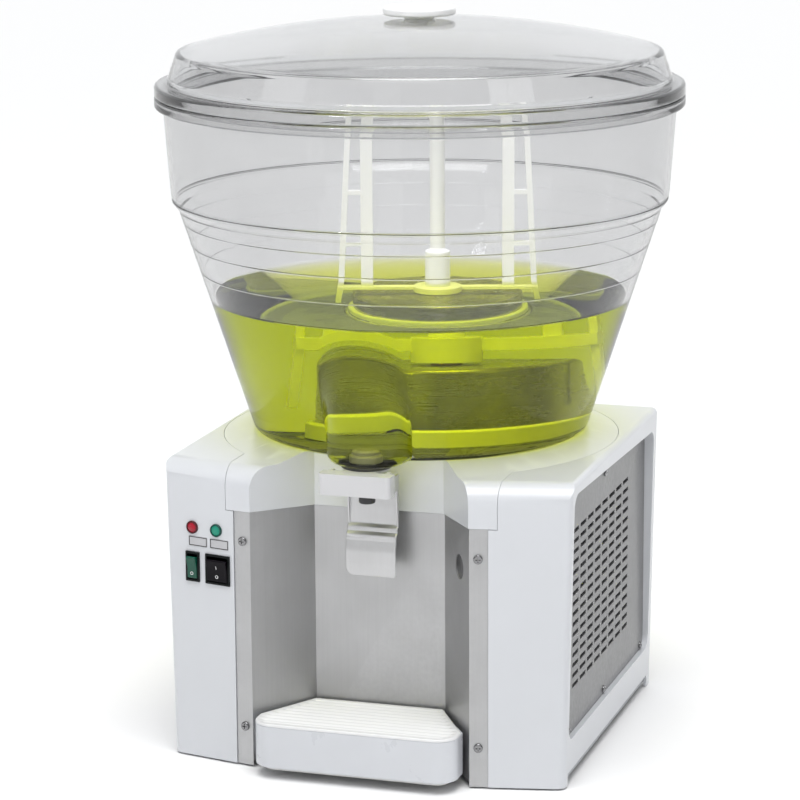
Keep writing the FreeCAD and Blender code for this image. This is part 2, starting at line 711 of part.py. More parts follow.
def screw(head_radius):
    """Pan-head screw facing -Y with a cross recess, its seat at the origin."""
    shank_radius = SCREW_SHANK_RADIUS * head_radius / SCREW_HEAD_RADIUS
    head = Part.makeCylinder(head_radius, SCREW_HEAD_HEIGHT, Vector(0, 0, 0), Vector(0, -1, 0))
    rim = [edge for edge in head.Edges if edge.Closed and edge.CenterOfMass.y < -SCREW_HEAD_HEIGHT * 0.9]
    head = head.makeFillet(SCREW_HEAD_HEIGHT * 0.55, rim)
    shank = Part.makeCylinder(shank_radius, SCREW_SHANK_LENGTH, Vector(0, 0, 0), Vector(0, 1, 0))
    arm = head_radius * 0.55
    width = head_radius * 0.11
    cross = [
        box(-arm, arm, -SCREW_HEAD_HEIGHT - 1, -SCREW_HEAD_HEIGHT * 0.4, -width, width),
        box(-width, width, -SCREW_HEAD_HEIGHT - 1, -SCREW_HEAD_HEIGHT * 0.4, -arm, arm),
    ]
    return head.fuse(shank).cut(cross[0].fuse(cross[1]))


def controls():
    """Lamps, bare label plates and switch frames on the left front panel."""
    lamp_body = Part.makeCylinder(LAMP_RADIUS, 1.6, Vector(0, 0, 0), Vector(0, -1, 0))
    lens = Part.makeSphere(LAMP_RADIUS * 1.15, Vector(0, LAMP_RADIUS * 0.55, 0))
    lens = lens.common(box(-20, 20, -20, -1.0, -20, 20))
    stem = Part.makeCylinder(LAMP_RADIUS * 0.7, SHELL_WALL + 12, Vector(0, -0.5, 0), Vector(0, 1, 0))
    lamp = lamp_body.fuse([lens, stem])
    plate = box(
        -PLATE_WIDTH / 2,
        PLATE_WIDTH / 2,
        -PLATE_THICKNESS,
        0,
        -PLATE_HEIGHT / 2,
        PLATE_HEIGHT / 2,
    )
    plates = Part.Compound(
        [on_left_front(plate, LEFT_PLATE_X, PLATE_Z), on_left_front(plate, RIGHT_PLATE_X, PLATE_Z)]
    )
    frames = Part.Compound(
        [
            on_left_front(switch_frame(NARROW_SWITCH_WIDTH), NARROW_SWITCH_X, SWITCH_Z),
            on_left_front(switch_frame(WIDE_SWITCH_WIDTH), WIDE_SWITCH_X, SWITCH_Z),
        ]
    )
    return {
        "red_lamp": on_left_front(lamp, RED_LAMP_X, LAMP_Z),
        "green_lamp": on_left_front(lamp, GREEN_LAMP_X, LAMP_Z),
        "label_plates": plates,
        "switch_frames": frames,
        "green_rocker": on_left_front(rocker(NARROW_SWITCH_WIDTH), NARROW_SWITCH_X, SWITCH_Z),
        "black_rocker": on_left_front(rocker(WIDE_SWITCH_WIDTH), WIDE_SWITCH_X, SWITCH_Z),
    }


def switch_body(width, clearance):
    """Part of a switch behind its panel, grown by a clearance."""
    half_width = width / 2 - SWITCH_RIM * 0.4 + clearance
    half_height = SWITCH_HEIGHT / 2 - SWITCH_RIM * 0.4 + clearance
    return box(-half_width, half_width, -0.1, SWITCH_DEPTH, -half_height, half_height)


def switch_frame(width):
    """Frame and body of one rocker switch, facing -Y."""
    bezel = box(-width / 2, width / 2, -SWITCH_PROUD, 0, -SWITCH_HEIGHT / 2, SWITCH_HEIGHT / 2)
    pocket_half = width / 2 - SWITCH_RIM
    pocket = box(
        -pocket_half,
        pocket_half,
        -SWITCH_PROUD - 1,
        ROCKER_PIVOT_DEPTH + 9.0,
        -ROCKER_SWING - ROCKER_GAP,
        ROCKER_SWING + ROCKER_GAP,
    )
    return bezel.fuse(switch_body(width, 0.0)).cut(pocket)


def rocker(width):
    """Rocker with a shallow valley across its front, tipped to its rest."""
    half = width / 2 - SWITCH_RIM - ROCKER_GAP
    drum = Part.makeCylinder(
        ROCKER_SWING, 2 * half, Vector(-half, ROCKER_PIVOT_DEPTH, 0), Vector(1, 0, 0)
    )
    valley = SWITCH_PROUD + 1.0
    rise = ROCKER_SWING * math.tan(math.radians(ROCKER_TILT))
    keep = prism_x(
        [
            (-valley - rise, -ROCKER_SWING),
            (-valley, 0),
            (-valley - rise, ROCKER_SWING),
            (ROCKER_PIVOT_DEPTH + 5.0, ROCKER_SWING * 0.6),
            (ROCKER_PIVOT_DEPTH + 5.0, -ROCKER_SWING * 0.6),
        ],
        -half,
        half,
    )
    solid = drum.common(keep)
    solid.rotate(Vector(0, ROCKER_PIVOT_DEPTH, 0), Vector(1, 0, 0), ROCKER_TILT)
    return solid


def control_holes():
    """Openings of the left front panel for its lamps and switches."""
    bore = Part.makeCylinder(LAMP_RADIUS * 0.7, 12, Vector(0, -4, 0), Vector(0, 1, 0))
    return [
        on_left_front(bore, RED_LAMP_X, LAMP_Z),
        on_left_front(bore, GREEN_LAMP_X, LAMP_Z),
        on_left_front(switch_body(NARROW_SWITCH_WIDTH, 0.0), NARROW_SWITCH_X, SWITCH_Z),
        on_left_front(switch_body(WIDE_SWITCH_WIDTH, 0.0), WIDE_SWITCH_X, SWITCH_Z),
    ]


def offset_path(points, distance):
    """Mitred parallel of an open path, to its left when walked from left to right."""
    moved = []
    for index, point in enumerate(points):
        normals = []
        for a, b in ((index - 1, index), (index, index + 1)):
            if a < 0 or b >= len(points):
                continue
            dx = points[b][0] - points[a][0]
            dy = points[b][1] - points[a][1]
            length = math.hypot(dx, dy)
            normals.append((-dy / length, dx / length))
        nx = sum(normal[0] for normal in normals)
        ny = sum(normal[1] for normal in normals)
        scale = len(normals) / (nx * nx + ny * ny)
        moved.append((point[0] + nx * scale * distance, point[1] + ny * scale * distance))
    return moved


def recess_path():
    """Front view of the cup recess in plan, from the left strip to the right."""
    return [
        (-STRIP_HALF, front_y(STRIP_HALF)),
        (-MOUTH_HALF, FRONT_Y),
        (-RECESS_HALF, RECESS_Y),
        (RECESS_HALF, RECESS_Y),
        (MOUTH_HALF, FRONT_Y),
        (STRIP_HALF, front_y(STRIP_HALF)),
    ]


def below_fascia(drop):
    """Wedge below the sloping lower edge of the fascia."""
    slope = (FASCIA_BACK_Z - FASCIA_FRONT_Z) / (RECESS_Y - FRONT_Y)
    y0 = FRONT_Y - 60
    y1 = RECESS_Y + 60
    return prism_x(
        [
            (y0, -10),
            (y1, -10),
            (y1, FASCIA_FRONT_Z + slope * (y1 - FRONT_Y) - drop),
            (y0, FASCIA_FRONT_Z + slope * (y0 - FRONT_Y) - drop),
        ],
        -OUTER_REACH,
        OUTER_REACH,
    )


def recess_panel():
    """Folded panel around the cup recess, with its two screw strips."""
    near = offset_path(recess_path(), PANEL_SETBACK)
    far = offset_path(recess_path(), PANEL_SETBACK + SHEET)
    sheet = prism_z(near + far[::-1], GROUND_GAP, FASCIA_FRONT_Z + 10)
    sheet = sheet.common(below_fascia(FASCIA_GAP))
    raised = prism_z(
        [(-MOUTH_HALF, FRONT_Y - 5), (MOUTH_HALF, FRONT_Y - 5), (MOUTH_HALF, 0), (-MOUTH_HALF, 0)],
        0,
        PANEL_BOTTOM,
    )
    sheet = sheet.cut(raised)
    hole_x = MOUTH_HALF + (RECESS_HALF - MOUTH_HALF) * FINGER_HOLE_FROM_MOUTH
    hole_y = FRONT_Y + (RECESS_Y - FRONT_Y) * FINGER_HOLE_FROM_MOUTH
    way = Vector(RECESS_Y - FRONT_Y, MOUTH_HALF - RECESS_HALF, 0).normalize()
    start = Vector(hole_x, hole_y, FINGER_HOLE_Z) - way * FINGER_HOLE_RADIUS
    finger_hole = Part.makeCylinder(FINGER_HOLE_RADIUS, 2 * FINGER_HOLE_RADIUS, start, way)
    return sheet.cut(finger_hole).cut(tongue_block(TONGUE_GAP))


def strip_screws():
    """The four screws of the recess panel, two in each strip."""
    seat = screw(SCREW_HEAD_RADIUS)
    seat.translate(Vector(0, PANEL_SETBACK, 0))
    middle = (MOUTH_HALF + STRIP_HALF) / 2
    placed = []
    for height in STRIP_SCREW_HEIGHTS:
        placed.append(on_left_front(seat, -middle, height))
        placed.append(on_right_front(seat, middle, height))
    return Part.Compound(placed)


def strip_screw_holes(clearance):
    """Bores for the shanks of the strip screws."""
    bore = Part.makeCylinder(SCREW_SHANK_RADIUS + clearance, 14, Vector(0, -1, 0), Vector(0, 1, 0))
    middle = (MOUTH_HALF + STRIP_HALF) / 2
    holes = []
    for height in STRIP_SCREW_HEIGHTS:
        holes.append(on_left_front(bore, -middle, height))
        holes.append(on_right_front(bore, middle, height))
    return holes


def cover_block(inset):
    """Top cover as a full block, set in by its wall: fascia, lobes and dish."""
    rise = inset / math.cos(math.radians(SPLAY_ANGLE))
    half = COVER_HALF - inset
    inner = offset_path(recess_path()[1:5], inset)
    low = FASCIA_BACK_Z - 10
    lobe_y = front_y(half) + rise
    back_y = RECESS_Y / 2
    plan = [(-half, lobe_y)] + inner + [(half, lobe_y), (half, back_y), (-half, back_y)]
    top = BODY_TOP - inset
    horns = prism_z(plan, low, top)
    horns = horns.common(round_over(inset, 1)).common(round_over(inset, -1))
    horns = horns.cut(below_fascia(0.0))
    dish = turned(
        [
            (0, DECK_TOP - inset * 4),
            (DISH_RADIUS - inset, DECK_TOP - inset * 4),
            (DISH_RADIUS - inset, BODY_TOP - inset),
            (SEAT_RADIUS - inset * 0.3, SEAT_Z - inset),
            (0, SEAT_Z - inset),
        ]
    )
    dish_back = SHELL_BACK_Y - SHELL_WALL - 1.0 - inset
    keep_back = box(-OUTER_REACH, OUTER_REACH, -OUTER_REACH, dish_back, 0, TOOL_REACH)
    mouth_corners = [(RECESS_HALF, FRONT_Y * 1.6), (-RECESS_HALF, FRONT_Y * 1.6)]
    recess = prism_z(inner + mouth_corners, 0, TOOL_REACH)
    dish = dish.common(keep_back).cut(recess)
    return horns.fuse(dish)


def top_cover():
    """White top cover with fascia, lobes, raised seat and drum opening."""
    outer = cover_block(0.0)
    inner = cover_block(COVER_WALL)
    below = box(-OUTER_REACH, OUTER_REACH, -OUTER_REACH, OUTER_REACH, 0, FASCIA_BACK_Z - 4)
    on_deck = prism_z(deck_plan(), 0, DECK_TOP)
    shell = outer.cut(inner).cut(below).cut(on_deck)
    opening_z = FASCIA_BACK_Z
    drum_opening = Part.makeCylinder(DRUM_FLANGE_RADIUS + 1.5, TOOL_REACH, Vector(0, DRUM_Y, opening_z))
    return shell.cut(drum_opening).removeSplitter()


def vent_insert():
    """Grey louvred insert of the right side window."""
    panel = window_prism(-INSERT_CLEARANCE, INSERT_FACE_X - INSERT_THICKNESS, INSERT_FACE_X)
    slots = []
    for column in range(VENT_COLUMNS):
        for row in range(VENT_ROWS):
            y0 = VENT_FIRST_Y + column * VENT_PITCH_Y
            z0 = VENT_FIRST_Z + row * VENT_PITCH_Z
            slots.append(
                box(
                    INSERT_FACE_X - 10,
                    INSERT_FACE_X + 10,
                    y0,
                    y0 + VENT_SLOT_LENGTH,
                    z0,
                    z0 + VENT_SLOT_HEIGHT,
                )
            )
    return panel.cut(Part.Compound(slots)).cut(Part.Compound(insert_screw_holes()))


def insert_screw_spots():
    """Y and Z of the screws of a vent insert."""
    top = WINDOW_TOP_BACK - (INSERT_SCREW_Z - WINDOW_BOTTOM)
    return [(y, z) for y in INSERT_SCREW_Y for z in (INSERT_SCREW_Z, top)]


def insert_screw_holes():
    """Bores in the right vent insert."""
    radius = SCREW_SHANK_RADIUS * INSERT_SCREW_RADIUS / SCREW_HEAD_RADIUS
    return [
        rod(radius, (INSERT_FACE_X - 10, y, z), (INSERT_FACE_X + 10, y, z)) for y, z in insert_screw_spots()
    ]


def insert_screws():
    """Screws of both vent inserts."""
    fastener = screw(INSERT_SCREW_RADIUS)
    fastener.rotate(Vector(0, 0, 0), Vector(0, 0, 1), 90)
    placed = []
    for y, z in insert_screw_spots():
        piece = fastener.copy()
        piece.translate(Vector(INSERT_FACE_X, y, z))
        placed.append(piece)
        placed.append(mirrored(piece))
    return Part.Compound(placed)


def body_plan(side, front, recess, back):
    """Plan of the whole cabinet with its recess, set in by a distance at each side."""
    half = BASE_HALF_WIDTH - side
    rise = front / math.cos(math.radians(SPLAY_ANGLE))
    inner = offset_path(recess_path()[1:5], recess)
    slope = (RECESS_Y - FRONT_Y) / (MOUTH_HALF - RECESS_HALF)
    mouth_x = (inner[3][1] + slope * inner[3][0] - front_y(0) - rise) / (slope + SPLAY_SLOPE)
    mouth_y = front_y(mouth_x) + rise
    corner = CORNER_CHAMFER
    right = [
        (inner[2][0], inner[2][1]),
        (mouth_x, mouth_y),
        (half - corner, front_y(half - corner) + rise),
        (half, front_y(half) + rise + corner),
        (half, BACK_Y - back),
    ]
    left = [(-x, y) for x, y in right[::-1]]
    return left + right


def pan_plan(wall):
    """Plan of the base pan, set in by its wall."""
    return body_plan(
        PAN_SIDE_INSET + wall,
        PAN_FRONT_INSET + wall,
        PANEL_SETBACK + SHEET + wall,
        BACK_PANEL_THICKNESS + wall,
    )


def base_pan():
    """Sheet base pan with an upturned rim, open where the tongue passes."""
    floor = prism_z(pan_plan(0.0), FOOT_HEIGHT, PAN_TOP)
    rim = prism_z(pan_plan(0.0), PAN_TOP, PAN_TOP + PAN_RIM)
    rim = rim.cut(prism_z(pan_plan(PAN_SHEET), PAN_TOP - 1, PAN_TOP + PAN_RIM + 1))
    return floor.fuse(rim.cut(tongue_block(TONGUE_GAP))).removeSplitter()


def foot_spots():
    """Plan positions of the four feet."""
    return [(side * FOOT_X, y) for side in (-1, 1) for y in (FOOT_FRONT_Y, FOOT_BACK_Y)]


def rubber_feet():
    """Four rubber feet below the base pan."""
    foot = turned(
        [
            (0, 0),
            (FOOT_RADIUS - FOOT_CHAMFER, 0),
            (FOOT_RADIUS, FOOT_CHAMFER),
            (FOOT_RADIUS, FOOT_HEIGHT),
            (0, FOOT_HEIGHT),
        ]
    )
    placed = []
    for x, y in foot_spots():
        piece = foot.copy()
        piece.translate(Vector(x, y, 0))
        placed.append(piece)
    return Part.Compound(placed)


def frame_posts():
    """Four angle posts between the base pan and the deck."""
    placed = []
    for x_sign in (-1, 1):
        for y_corner, y_way in ((POST_FRONT_Y, 1), (POST_BACK_Y, -1)):
            x_corner = x_sign * POST_X
            x_end = x_corner - x_sign * POST_SIZE
            y_end = y_corner + y_way * POST_SIZE
            leg_x = box(
                min(x_corner, x_end),
                max(x_corner, x_end),
                min(y_corner, y_corner + y_way * POST_SHEET),
                max(y_corner, y_corner + y_way * POST_SHEET),
                PAN_TOP,
                DECK_BOTTOM,
            )
            leg_y = box(
                min(x_corner, x_corner - x_sign * POST_SHEET),
                max(x_corner, x_corner - x_sign * POST_SHEET),
                min(y_corner, y_end),
                max(y_corner, y_end),
                PAN_TOP,
                DECK_BOTTOM,
            )
            placed.append(leg_x.fuse(leg_y).removeSplitter())
    return Part.Compound(placed)


def deck_plan():
    """Plan of the deck, inside the shells and the cover's walls."""
    return body_plan(
        DECK_SIDE_INSET, DECK_FRONT_INSET, COVER_WALL + FASCIA_GAP, BACK_PANEL_THICKNESS + SHELL_WALL
    )


def deck_plate():
    """Sheet deck that carries the drum, the motor and the cover."""
    plan = prism_z(deck_plan(), DECK_BOTTOM, DECK_TOP)
    hole = Part.makeCylinder(SHAFT_RADIUS + 6, 20, Vector(0, DRUM_Y, DECK_BOTTOM - 5))
    riser = Vector(RISER_X, DRUM_Y + RISER_FROM_DRUM, DECK_BOTTOM - 5)
    passage = Part.makeCylinder(PIPE_RADIUS + 1, 20, riser)
    return plan.cut([hole, passage])


def back_panel():
    """Back panel with rows of cooling slots and the cable hole."""
    low = side_x(GROUND_GAP) - 0.5
    high = side_x(BODY_TOP) - SIDE_TOP_RADIUS
    outline = [
        (-low, SIDE_RAIL_HEIGHT),
        (low, SIDE_RAIL_HEIGHT),
        (high, BODY_TOP - 1.0),
        (-high, BODY_TOP - 1.0),
    ]
    panel = prism_y(outline, SHELL_BACK_Y, BACK_Y)
    slots = []
    for column in range(BACK_SLOT_COLUMNS):
        for row in range(BACK_SLOT_ROWS):
            x0 = BACK_SLOT_FIRST_X + column * BACK_SLOT_PITCH_X
            z0 = BACK_SLOT_FIRST_Z + row * BACK_SLOT_PITCH_Z
            x1 = x0 + BACK_SLOT_LENGTH
            slots.append(box(x0, x1, SHELL_BACK_Y - 5, BACK_Y + 5, z0, z0 + BACK_SLOT_HEIGHT))
    gland_hole = rod(GLAND_RADIUS * 0.7, (GLAND_X, SHELL_BACK_Y - 5, GLAND_Z), (GLAND_X, BACK_Y + 5, GLAND_Z))
    return panel.cut(Part.Compound(slots + [gland_hole])).cut(back_screw_holes())


def back_screws():
    """Screws along the edges of the back panel, into the shells."""
    fastener = screw(INSERT_SCREW_RADIUS)
    fastener.rotate(Vector(0, 0, 0), Vector(0, 0, 1), 180)
    placed = []
    for x in (-BACK_SCREW_X, BACK_SCREW_X):
        for z in BACK_SCREW_HEIGHTS:
            piece = fastener.copy()
            piece.translate(Vector(x, BACK_Y, z))
            placed.append(piece)
    return Part.Compound(placed)


def back_screw_holes():
    """Bores for the back screws."""
    radius = SCREW_SHANK_RADIUS * INSERT_SCREW_RADIUS / SCREW_HEAD_RADIUS
    return [
        rod(radius, (x, BACK_Y - 20, z), (x, BACK_Y + 20, z))
        for x in (-BACK_SCREW_X, BACK_SCREW_X)
        for z in BACK_SCREW_HEIGHTS
    ]


def back_flange():
    """Inward flange at the back of a right side shell, for the back screws."""
    outer = side_x(SIDE_RAIL_HEIGHT) - 1.0
    return box(
        outer - BACK_FLANGE_WIDTH,
        outer,
        SHELL_BACK_Y - SHELL_WALL,
        SHELL_BACK_Y,
        PAN_TOP + PAN_RIM + 1.0,
        DECK_BOTTOM - 1.0,
    )


def cable_gland():
    """Cable gland in the back panel, with its bore and clamp nut."""
    collar = rod(GLAND_RADIUS, (GLAND_X, BACK_Y, GLAND_Z), (GLAND_X, BACK_Y + GLAND_LENGTH, GLAND_Z))
    neck = rod(GLAND_RADIUS * 0.7, (GLAND_X, SHELL_BACK_Y - 8, GLAND_Z), (GLAND_X, BACK_Y + 1, GLAND_Z))
    nut = rod(GLAND_RADIUS, (GLAND_X, SHELL_BACK_Y - 6, GLAND_Z), (GLAND_X, SHELL_BACK_Y, GLAND_Z))
    bore = rod(GLAND_BORE, (GLAND_X, SHELL_BACK_Y - 20, GLAND_Z), (GLAND_X, BACK_Y + 40, GLAND_Z))
    return fuse_all([collar, neck, nut]).cut(bore)


def bowl_profile(inset):
    """Half section of the bowl below its flange, set in by its wall."""
    floor = BOWL_BOTTOM + inset
    return [
        (0, floor),
        (CONE_BOTTOM_RADIUS - inset, floor),
        (STEP_RADIUS - inset, STEP_Z),
        (BAND_EDGE_RADIUS - inset, BAND_EDGE_Z),
        (BAND_BOTTOM_RADIUS - inset, BAND_BOTTOM_Z),
        (BAND_TOP_RADIUS - inset, BOWL_FLANGE_BOTTOM),
        (BAND_TOP_RADIUS - inset, BOWL_TOP + inset),
        (0, BOWL_TOP + inset),
    ]


def nose(inset):
    """Upright nose around the tap, its foot rounded in narrow flats, set in by its wall."""
    low = BOWL_BOTTOM + inset
    top = BOWL_BOTTOM + NOSE_HEIGHT
    radius = NOSE_RADIUS - inset
    rounding = NOSE_FOOT_RADIUS - inset
    turns = [math.pi / 2 * flat / NOSE_FOOT_FLATS for flat in range(NOSE_FOOT_FLATS + 1)]
    foot = [
        (radius - rounding * (1 - math.sin(turn)), low + rounding * (1 - math.cos(turn)))
        for turn in turns
    ]
    return turned([(0, low), *foot, (radius, top), (0, top)], y=NOSE_Y)


def bowl():
    """Clear bowl with its flange, band, cone, floor and front nose."""
    outer = turned(bowl_profile(0.0)).fuse(nose(0.0))
    flange = turned(
        [
            (BAND_TOP_RADIUS - BOWL_WALL, BOWL_FLANGE_BOTTOM),
            (FLANGE_RADIUS - FLANGE_CHAMFER, BOWL_FLANGE_BOTTOM),
            (FLANGE_RADIUS, BOWL_FLANGE_BOTTOM + FLANGE_CHAMFER),
            (FLANGE_RADIUS, BOWL_TOP),
            (BAND_TOP_RADIUS - BOWL_WALL, BOWL_TOP),
        ]
    )
    outer = outer.fuse(flange)
    inner = turned(bowl_profile(BOWL_WALL)).fuse(nose(BOWL_WALL))
    cut_low = BOWL_BOTTOM - BOWL_WALL
    drum_hole = Part.makeCylinder(DRUM_HOLE_RADIUS, 3 * BOWL_WALL, Vector(0, DRUM_Y, cut_low))
    tap_hole = Part.makeCylinder(NOSE_HOLE_RADIUS, 3 * BOWL_WALL, Vector(0, TAP_Y, cut_low))
    return outer.cut(inner).cut(drum_hole).cut(tap_hole).removeSplitter()


def lid():
    """Clear lid: flange, skirt, shoulder and shallow dome."""
    outer = dome_section(0.0)
    inner = dome_section(LID_WALL)
    shell = outer.cut(inner)
    flange = turned(
        [
            (LID_SPIGOT_RADIUS - LID_WALL, LID_BOTTOM),
            (FLANGE_RADIUS, LID_BOTTOM),
            (FLANGE_RADIUS, LID_FLANGE_TOP - LID_FLANGE_CHAMFER),
            (FLANGE_RADIUS - LID_FLANGE_CHAMFER, LID_FLANGE_TOP),
            (LID_SPIGOT_RADIUS - LID_WALL, LID_FLANGE_TOP),
        ]
    )
    spigot = turned(
        [
            (LID_SPIGOT_RADIUS - LID_WALL, LID_BOTTOM - LID_SPIGOT_DEPTH),
            (LID_SPIGOT_RADIUS, LID_BOTTOM - LID_SPIGOT_DEPTH),
            (LID_SPIGOT_RADIUS, LID_BOTTOM + 1.0),
            (LID_SPIGOT_RADIUS - LID_WALL, LID_BOTTOM + 1.0),
        ]
    )
    screw_low = Vector(0, 0, LID_DOME_TOP_Z - 2 * LID_WALL)
    screw_hole = Part.makeCylinder(KNOB_SCREW_RADIUS, 3 * LID_WALL, screw_low)
    return shell.fuse([flange, spigot]).cut(screw_hole).removeSplitter()


def dome_section(inset):
    """Full turned solid of the lid above its flange, set in by the wall."""
    foot = LID_FLANGE_TOP if inset == 0 else LID_BOTTOM - 2.0
    skirt = Vector(LID_SKIRT_RADIUS - inset, 0, foot)
    shoulder = Vector(LID_SHOULDER_RADIUS - inset, 0, LID_SHOULDER_Z - inset * 0.6)
    crown = Vector(0, 0, LID_DOME_TOP_Z - inset)
    drop = crown.z - shoulder.z
    sphere = (shoulder.x ** 2 + drop ** 2) / (2 * drop)
    half_way = shoulder.x / 2
    middle = Vector(half_way, 0, crown.z - sphere + math.sqrt(sphere ** 2 - half_way ** 2))
    edges = [
        Part.LineSegment(Vector(0, 0, foot), skirt).toShape(),
        Part.LineSegment(skirt, shoulder).toShape(),
        Part.Arc(shoulder, middle, crown).toShape(),
        Part.LineSegment(crown, Vector(0, 0, foot)).toShape(),
    ]
    solid = Part.Face(Part.Wire(edges)).revolve(Vector(0, 0, 0), Vector(0, 0, 1), 360)
    rims = [edge for edge in solid.Edges if edge.Closed and abs(edge.BoundBox.ZMax - shoulder.z) < 0.5]
    return solid.makeFillet(LID_SHOULDER_FILLET - inset, rims)


def lid_knob():
    """White disc knob with its boss and screw, seated on the dome."""
    seat = LID_DOME_TOP_Z + KNOB_SEAT_GAP
    disc_bottom = seat + KNOB_BOSS_HEIGHT
    disc_top = disc_bottom + KNOB_THICKNESS
    screw_radius = KNOB_SCREW_RADIUS - KNOB_SCREW_GAP
    screw_low = LID_DOME_TOP_Z - LID_WALL - KNOB_SCREW_REACH
    return turned(
        [
            (0, screw_low),
            (screw_radius, screw_low),
            (screw_radius, seat),
            (KNOB_BOSS_RADIUS, seat),
            (KNOB_BOSS_RADIUS, disc_bottom),
            (KNOB_RADIUS - 2.0, disc_bottom),
            (KNOB_RADIUS, disc_bottom + 2.0),
            (KNOB_RADIUS, disc_top - 2.5),
            (KNOB_RADIUS - 2.5, disc_top),
            (0, disc_top),
        ]
    )


def knob_nut():
    """Nut that holds the knob from inside the lid."""
    top = LID_DOME_TOP_Z - LID_WALL - KNOB_SEAT_GAP
    bore = KNOB_SCREW_RADIUS - KNOB_SCREW_GAP
    return turned(
        [
            (bore, top - KNOB_NUT_HEIGHT),
            (KNOB_NUT_RADIUS, top - KNOB_NUT_HEIGHT),
            (KNOB_NUT_RADIUS, top),
            (bore, top),
        ]
    )


def evaporator_drum():
    """Stainless cooling drum with its base flange and closed top."""
    hole = BUSH_RADIUS
    wall = Part.makeCylinder(DRUM_RADIUS, DRUM_TOP - DECK_TOP, Vector(0, DRUM_Y, DECK_TOP))
    top_rim = [edge for edge in wall.Edges if edge.Closed and edge.CenterOfMass.z > DRUM_TOP - 1]
    wall = wall.makeFillet(DRUM_EDGE_RADIUS, top_rim)
    hollow = Part.makeCylinder(
        DRUM_RADIUS - DRUM_WALL, DRUM_TOP - DRUM_WALL - DECK_TOP + 1, Vector(0, DRUM_Y, DECK_TOP - 1)
    )
    inner_rim = [edge for edge in hollow.Edges if edge.Closed and edge.CenterOfMass.z > DECK_TOP + 10]
    hollow = hollow.makeFillet(DRUM_EDGE_RADIUS - DRUM_WALL, inner_rim)
    flange = Part.makeCylinder(DRUM_FLANGE_RADIUS, DRUM_FLANGE_THICKNESS, Vector(0, DRUM_Y, DECK_TOP))
    bore = Part.makeCylinder(hole, 60, Vector(0, DRUM_Y, DRUM_TOP - 30))
    return wall.fuse(flange).cut(hollow).cut(bore)


def drum_inside():
    """Coil pack and foam core inside the drum."""
    low = DECK_TOP + 2.0
    high = DRUM_TOP - DRUM_EDGE_RADIUS - 2.0
    outer = DRUM_RADIUS - DRUM_WALL - COIL_GAP
    wire = (high - low) / COIL_TURNS / 2 * 0.8
    rings = []
    for index in range(COIL_TURNS):
        z = low + wire + index * (high - low) / COIL_TURNS
        rings.append(Part.makeTorus(outer - wire, wire, Vector(0, DRUM_Y, z)))
    back = turned(
        [
            (outer - 2 * wire - COIL_BACKING, low),
            (outer - wire, low),
            (outer - wire, high),
            (outer - 2 * wire - COIL_BACKING, high),
        ],
        0,
        DRUM_Y,
    )
    core_radius = outer - 2 * wire - COIL_BACKING - COIL_GAP
    core = turned(
        [
            (BUSH_RADIUS + 3.0, low),
            (core_radius, low),
            (core_radius, high),
            (BUSH_RADIUS + 3.0, high),
        ],
        0,
        DRUM_Y,
    )
    return back.multiFuse(rings), core


def drum_seal():
    """Rubber ring between the drum and the hole in the bowl's floor."""
    low = DECK_TOP + DRUM_FLANGE_THICKNESS
    lip = DRUM_HOLE_RADIUS - SEAL_GAP
    return turned(
        [
            (DRUM_RADIUS, low),
            (DRUM_FLANGE_RADIUS - 0.5, low),
            (DRUM_FLANGE_RADIUS - 0.5, BOWL_BOTTOM - SEAL_GAP),
            (lip, BOWL_BOTTOM - SEAL_GAP),
            (lip, SEAL_LIP_HEIGHT - 2.0),
            (lip - 2.0, SEAL_LIP_HEIGHT),
            (DRUM_RADIUS, SEAL_LIP_HEIGHT),
        ],
        0,
        DRUM_Y,
    )


def shaft_bush():
    """Bush of the drive shaft in the top of the drum."""
    bore = SHAFT_RADIUS + SHAFT_CLEARANCE
    return turned(
        [
            (bore, DRUM_TOP - BUSH_LENGTH),
            (BUSH_RADIUS, DRUM_TOP - BUSH_LENGTH),
            (BUSH_RADIUS, DRUM_TOP),
            (BUSH_HEAD_RADIUS, DRUM_TOP),
            (BUSH_HEAD_RADIUS, DRUM_TOP + BUSH_HEAD_HEIGHT),
            (bore, DRUM_TOP + BUSH_HEAD_HEIGHT),
        ],
        0,
        DRUM_Y,
    )


def hexagon(flats, z0, z1):
    """Hexagonal prism about the drum axis."""
    radius = flats / math.sqrt(3)
    points = []
    for index in range(6):
        angle = math.radians(60 * index)
        points.append((radius * math.cos(angle), DRUM_Y + radius * math.sin(angle)))
    return prism_z(points, z0, z1)


def drive_shaft():
    """Shaft from the gearbox up through the drum, with its hexagonal head."""
    low = GEARBOX_BOTTOM + GEARBOX_HEIGHT - 10.0
    shaft = Part.makeCylinder(SHAFT_RADIUS, DRIVE_BASE_Z + 1 - low, Vector(0, DRUM_Y, low))
    head = hexagon(DRIVE_HEAD_FLATS, DRIVE_BASE_Z, DRIVE_BASE_Z + DRIVE_HEAD_HEIGHT)
    return shaft.fuse(head)


def turned_with_stirrer(shape):
    """Turn a shape to the stirrer's angle at rest."""
    placed = shape.copy()
    placed.rotate(Vector(0, DRUM_Y, 0), Vector(0, 0, 1), STIRRER_ANGLE)
    return placed


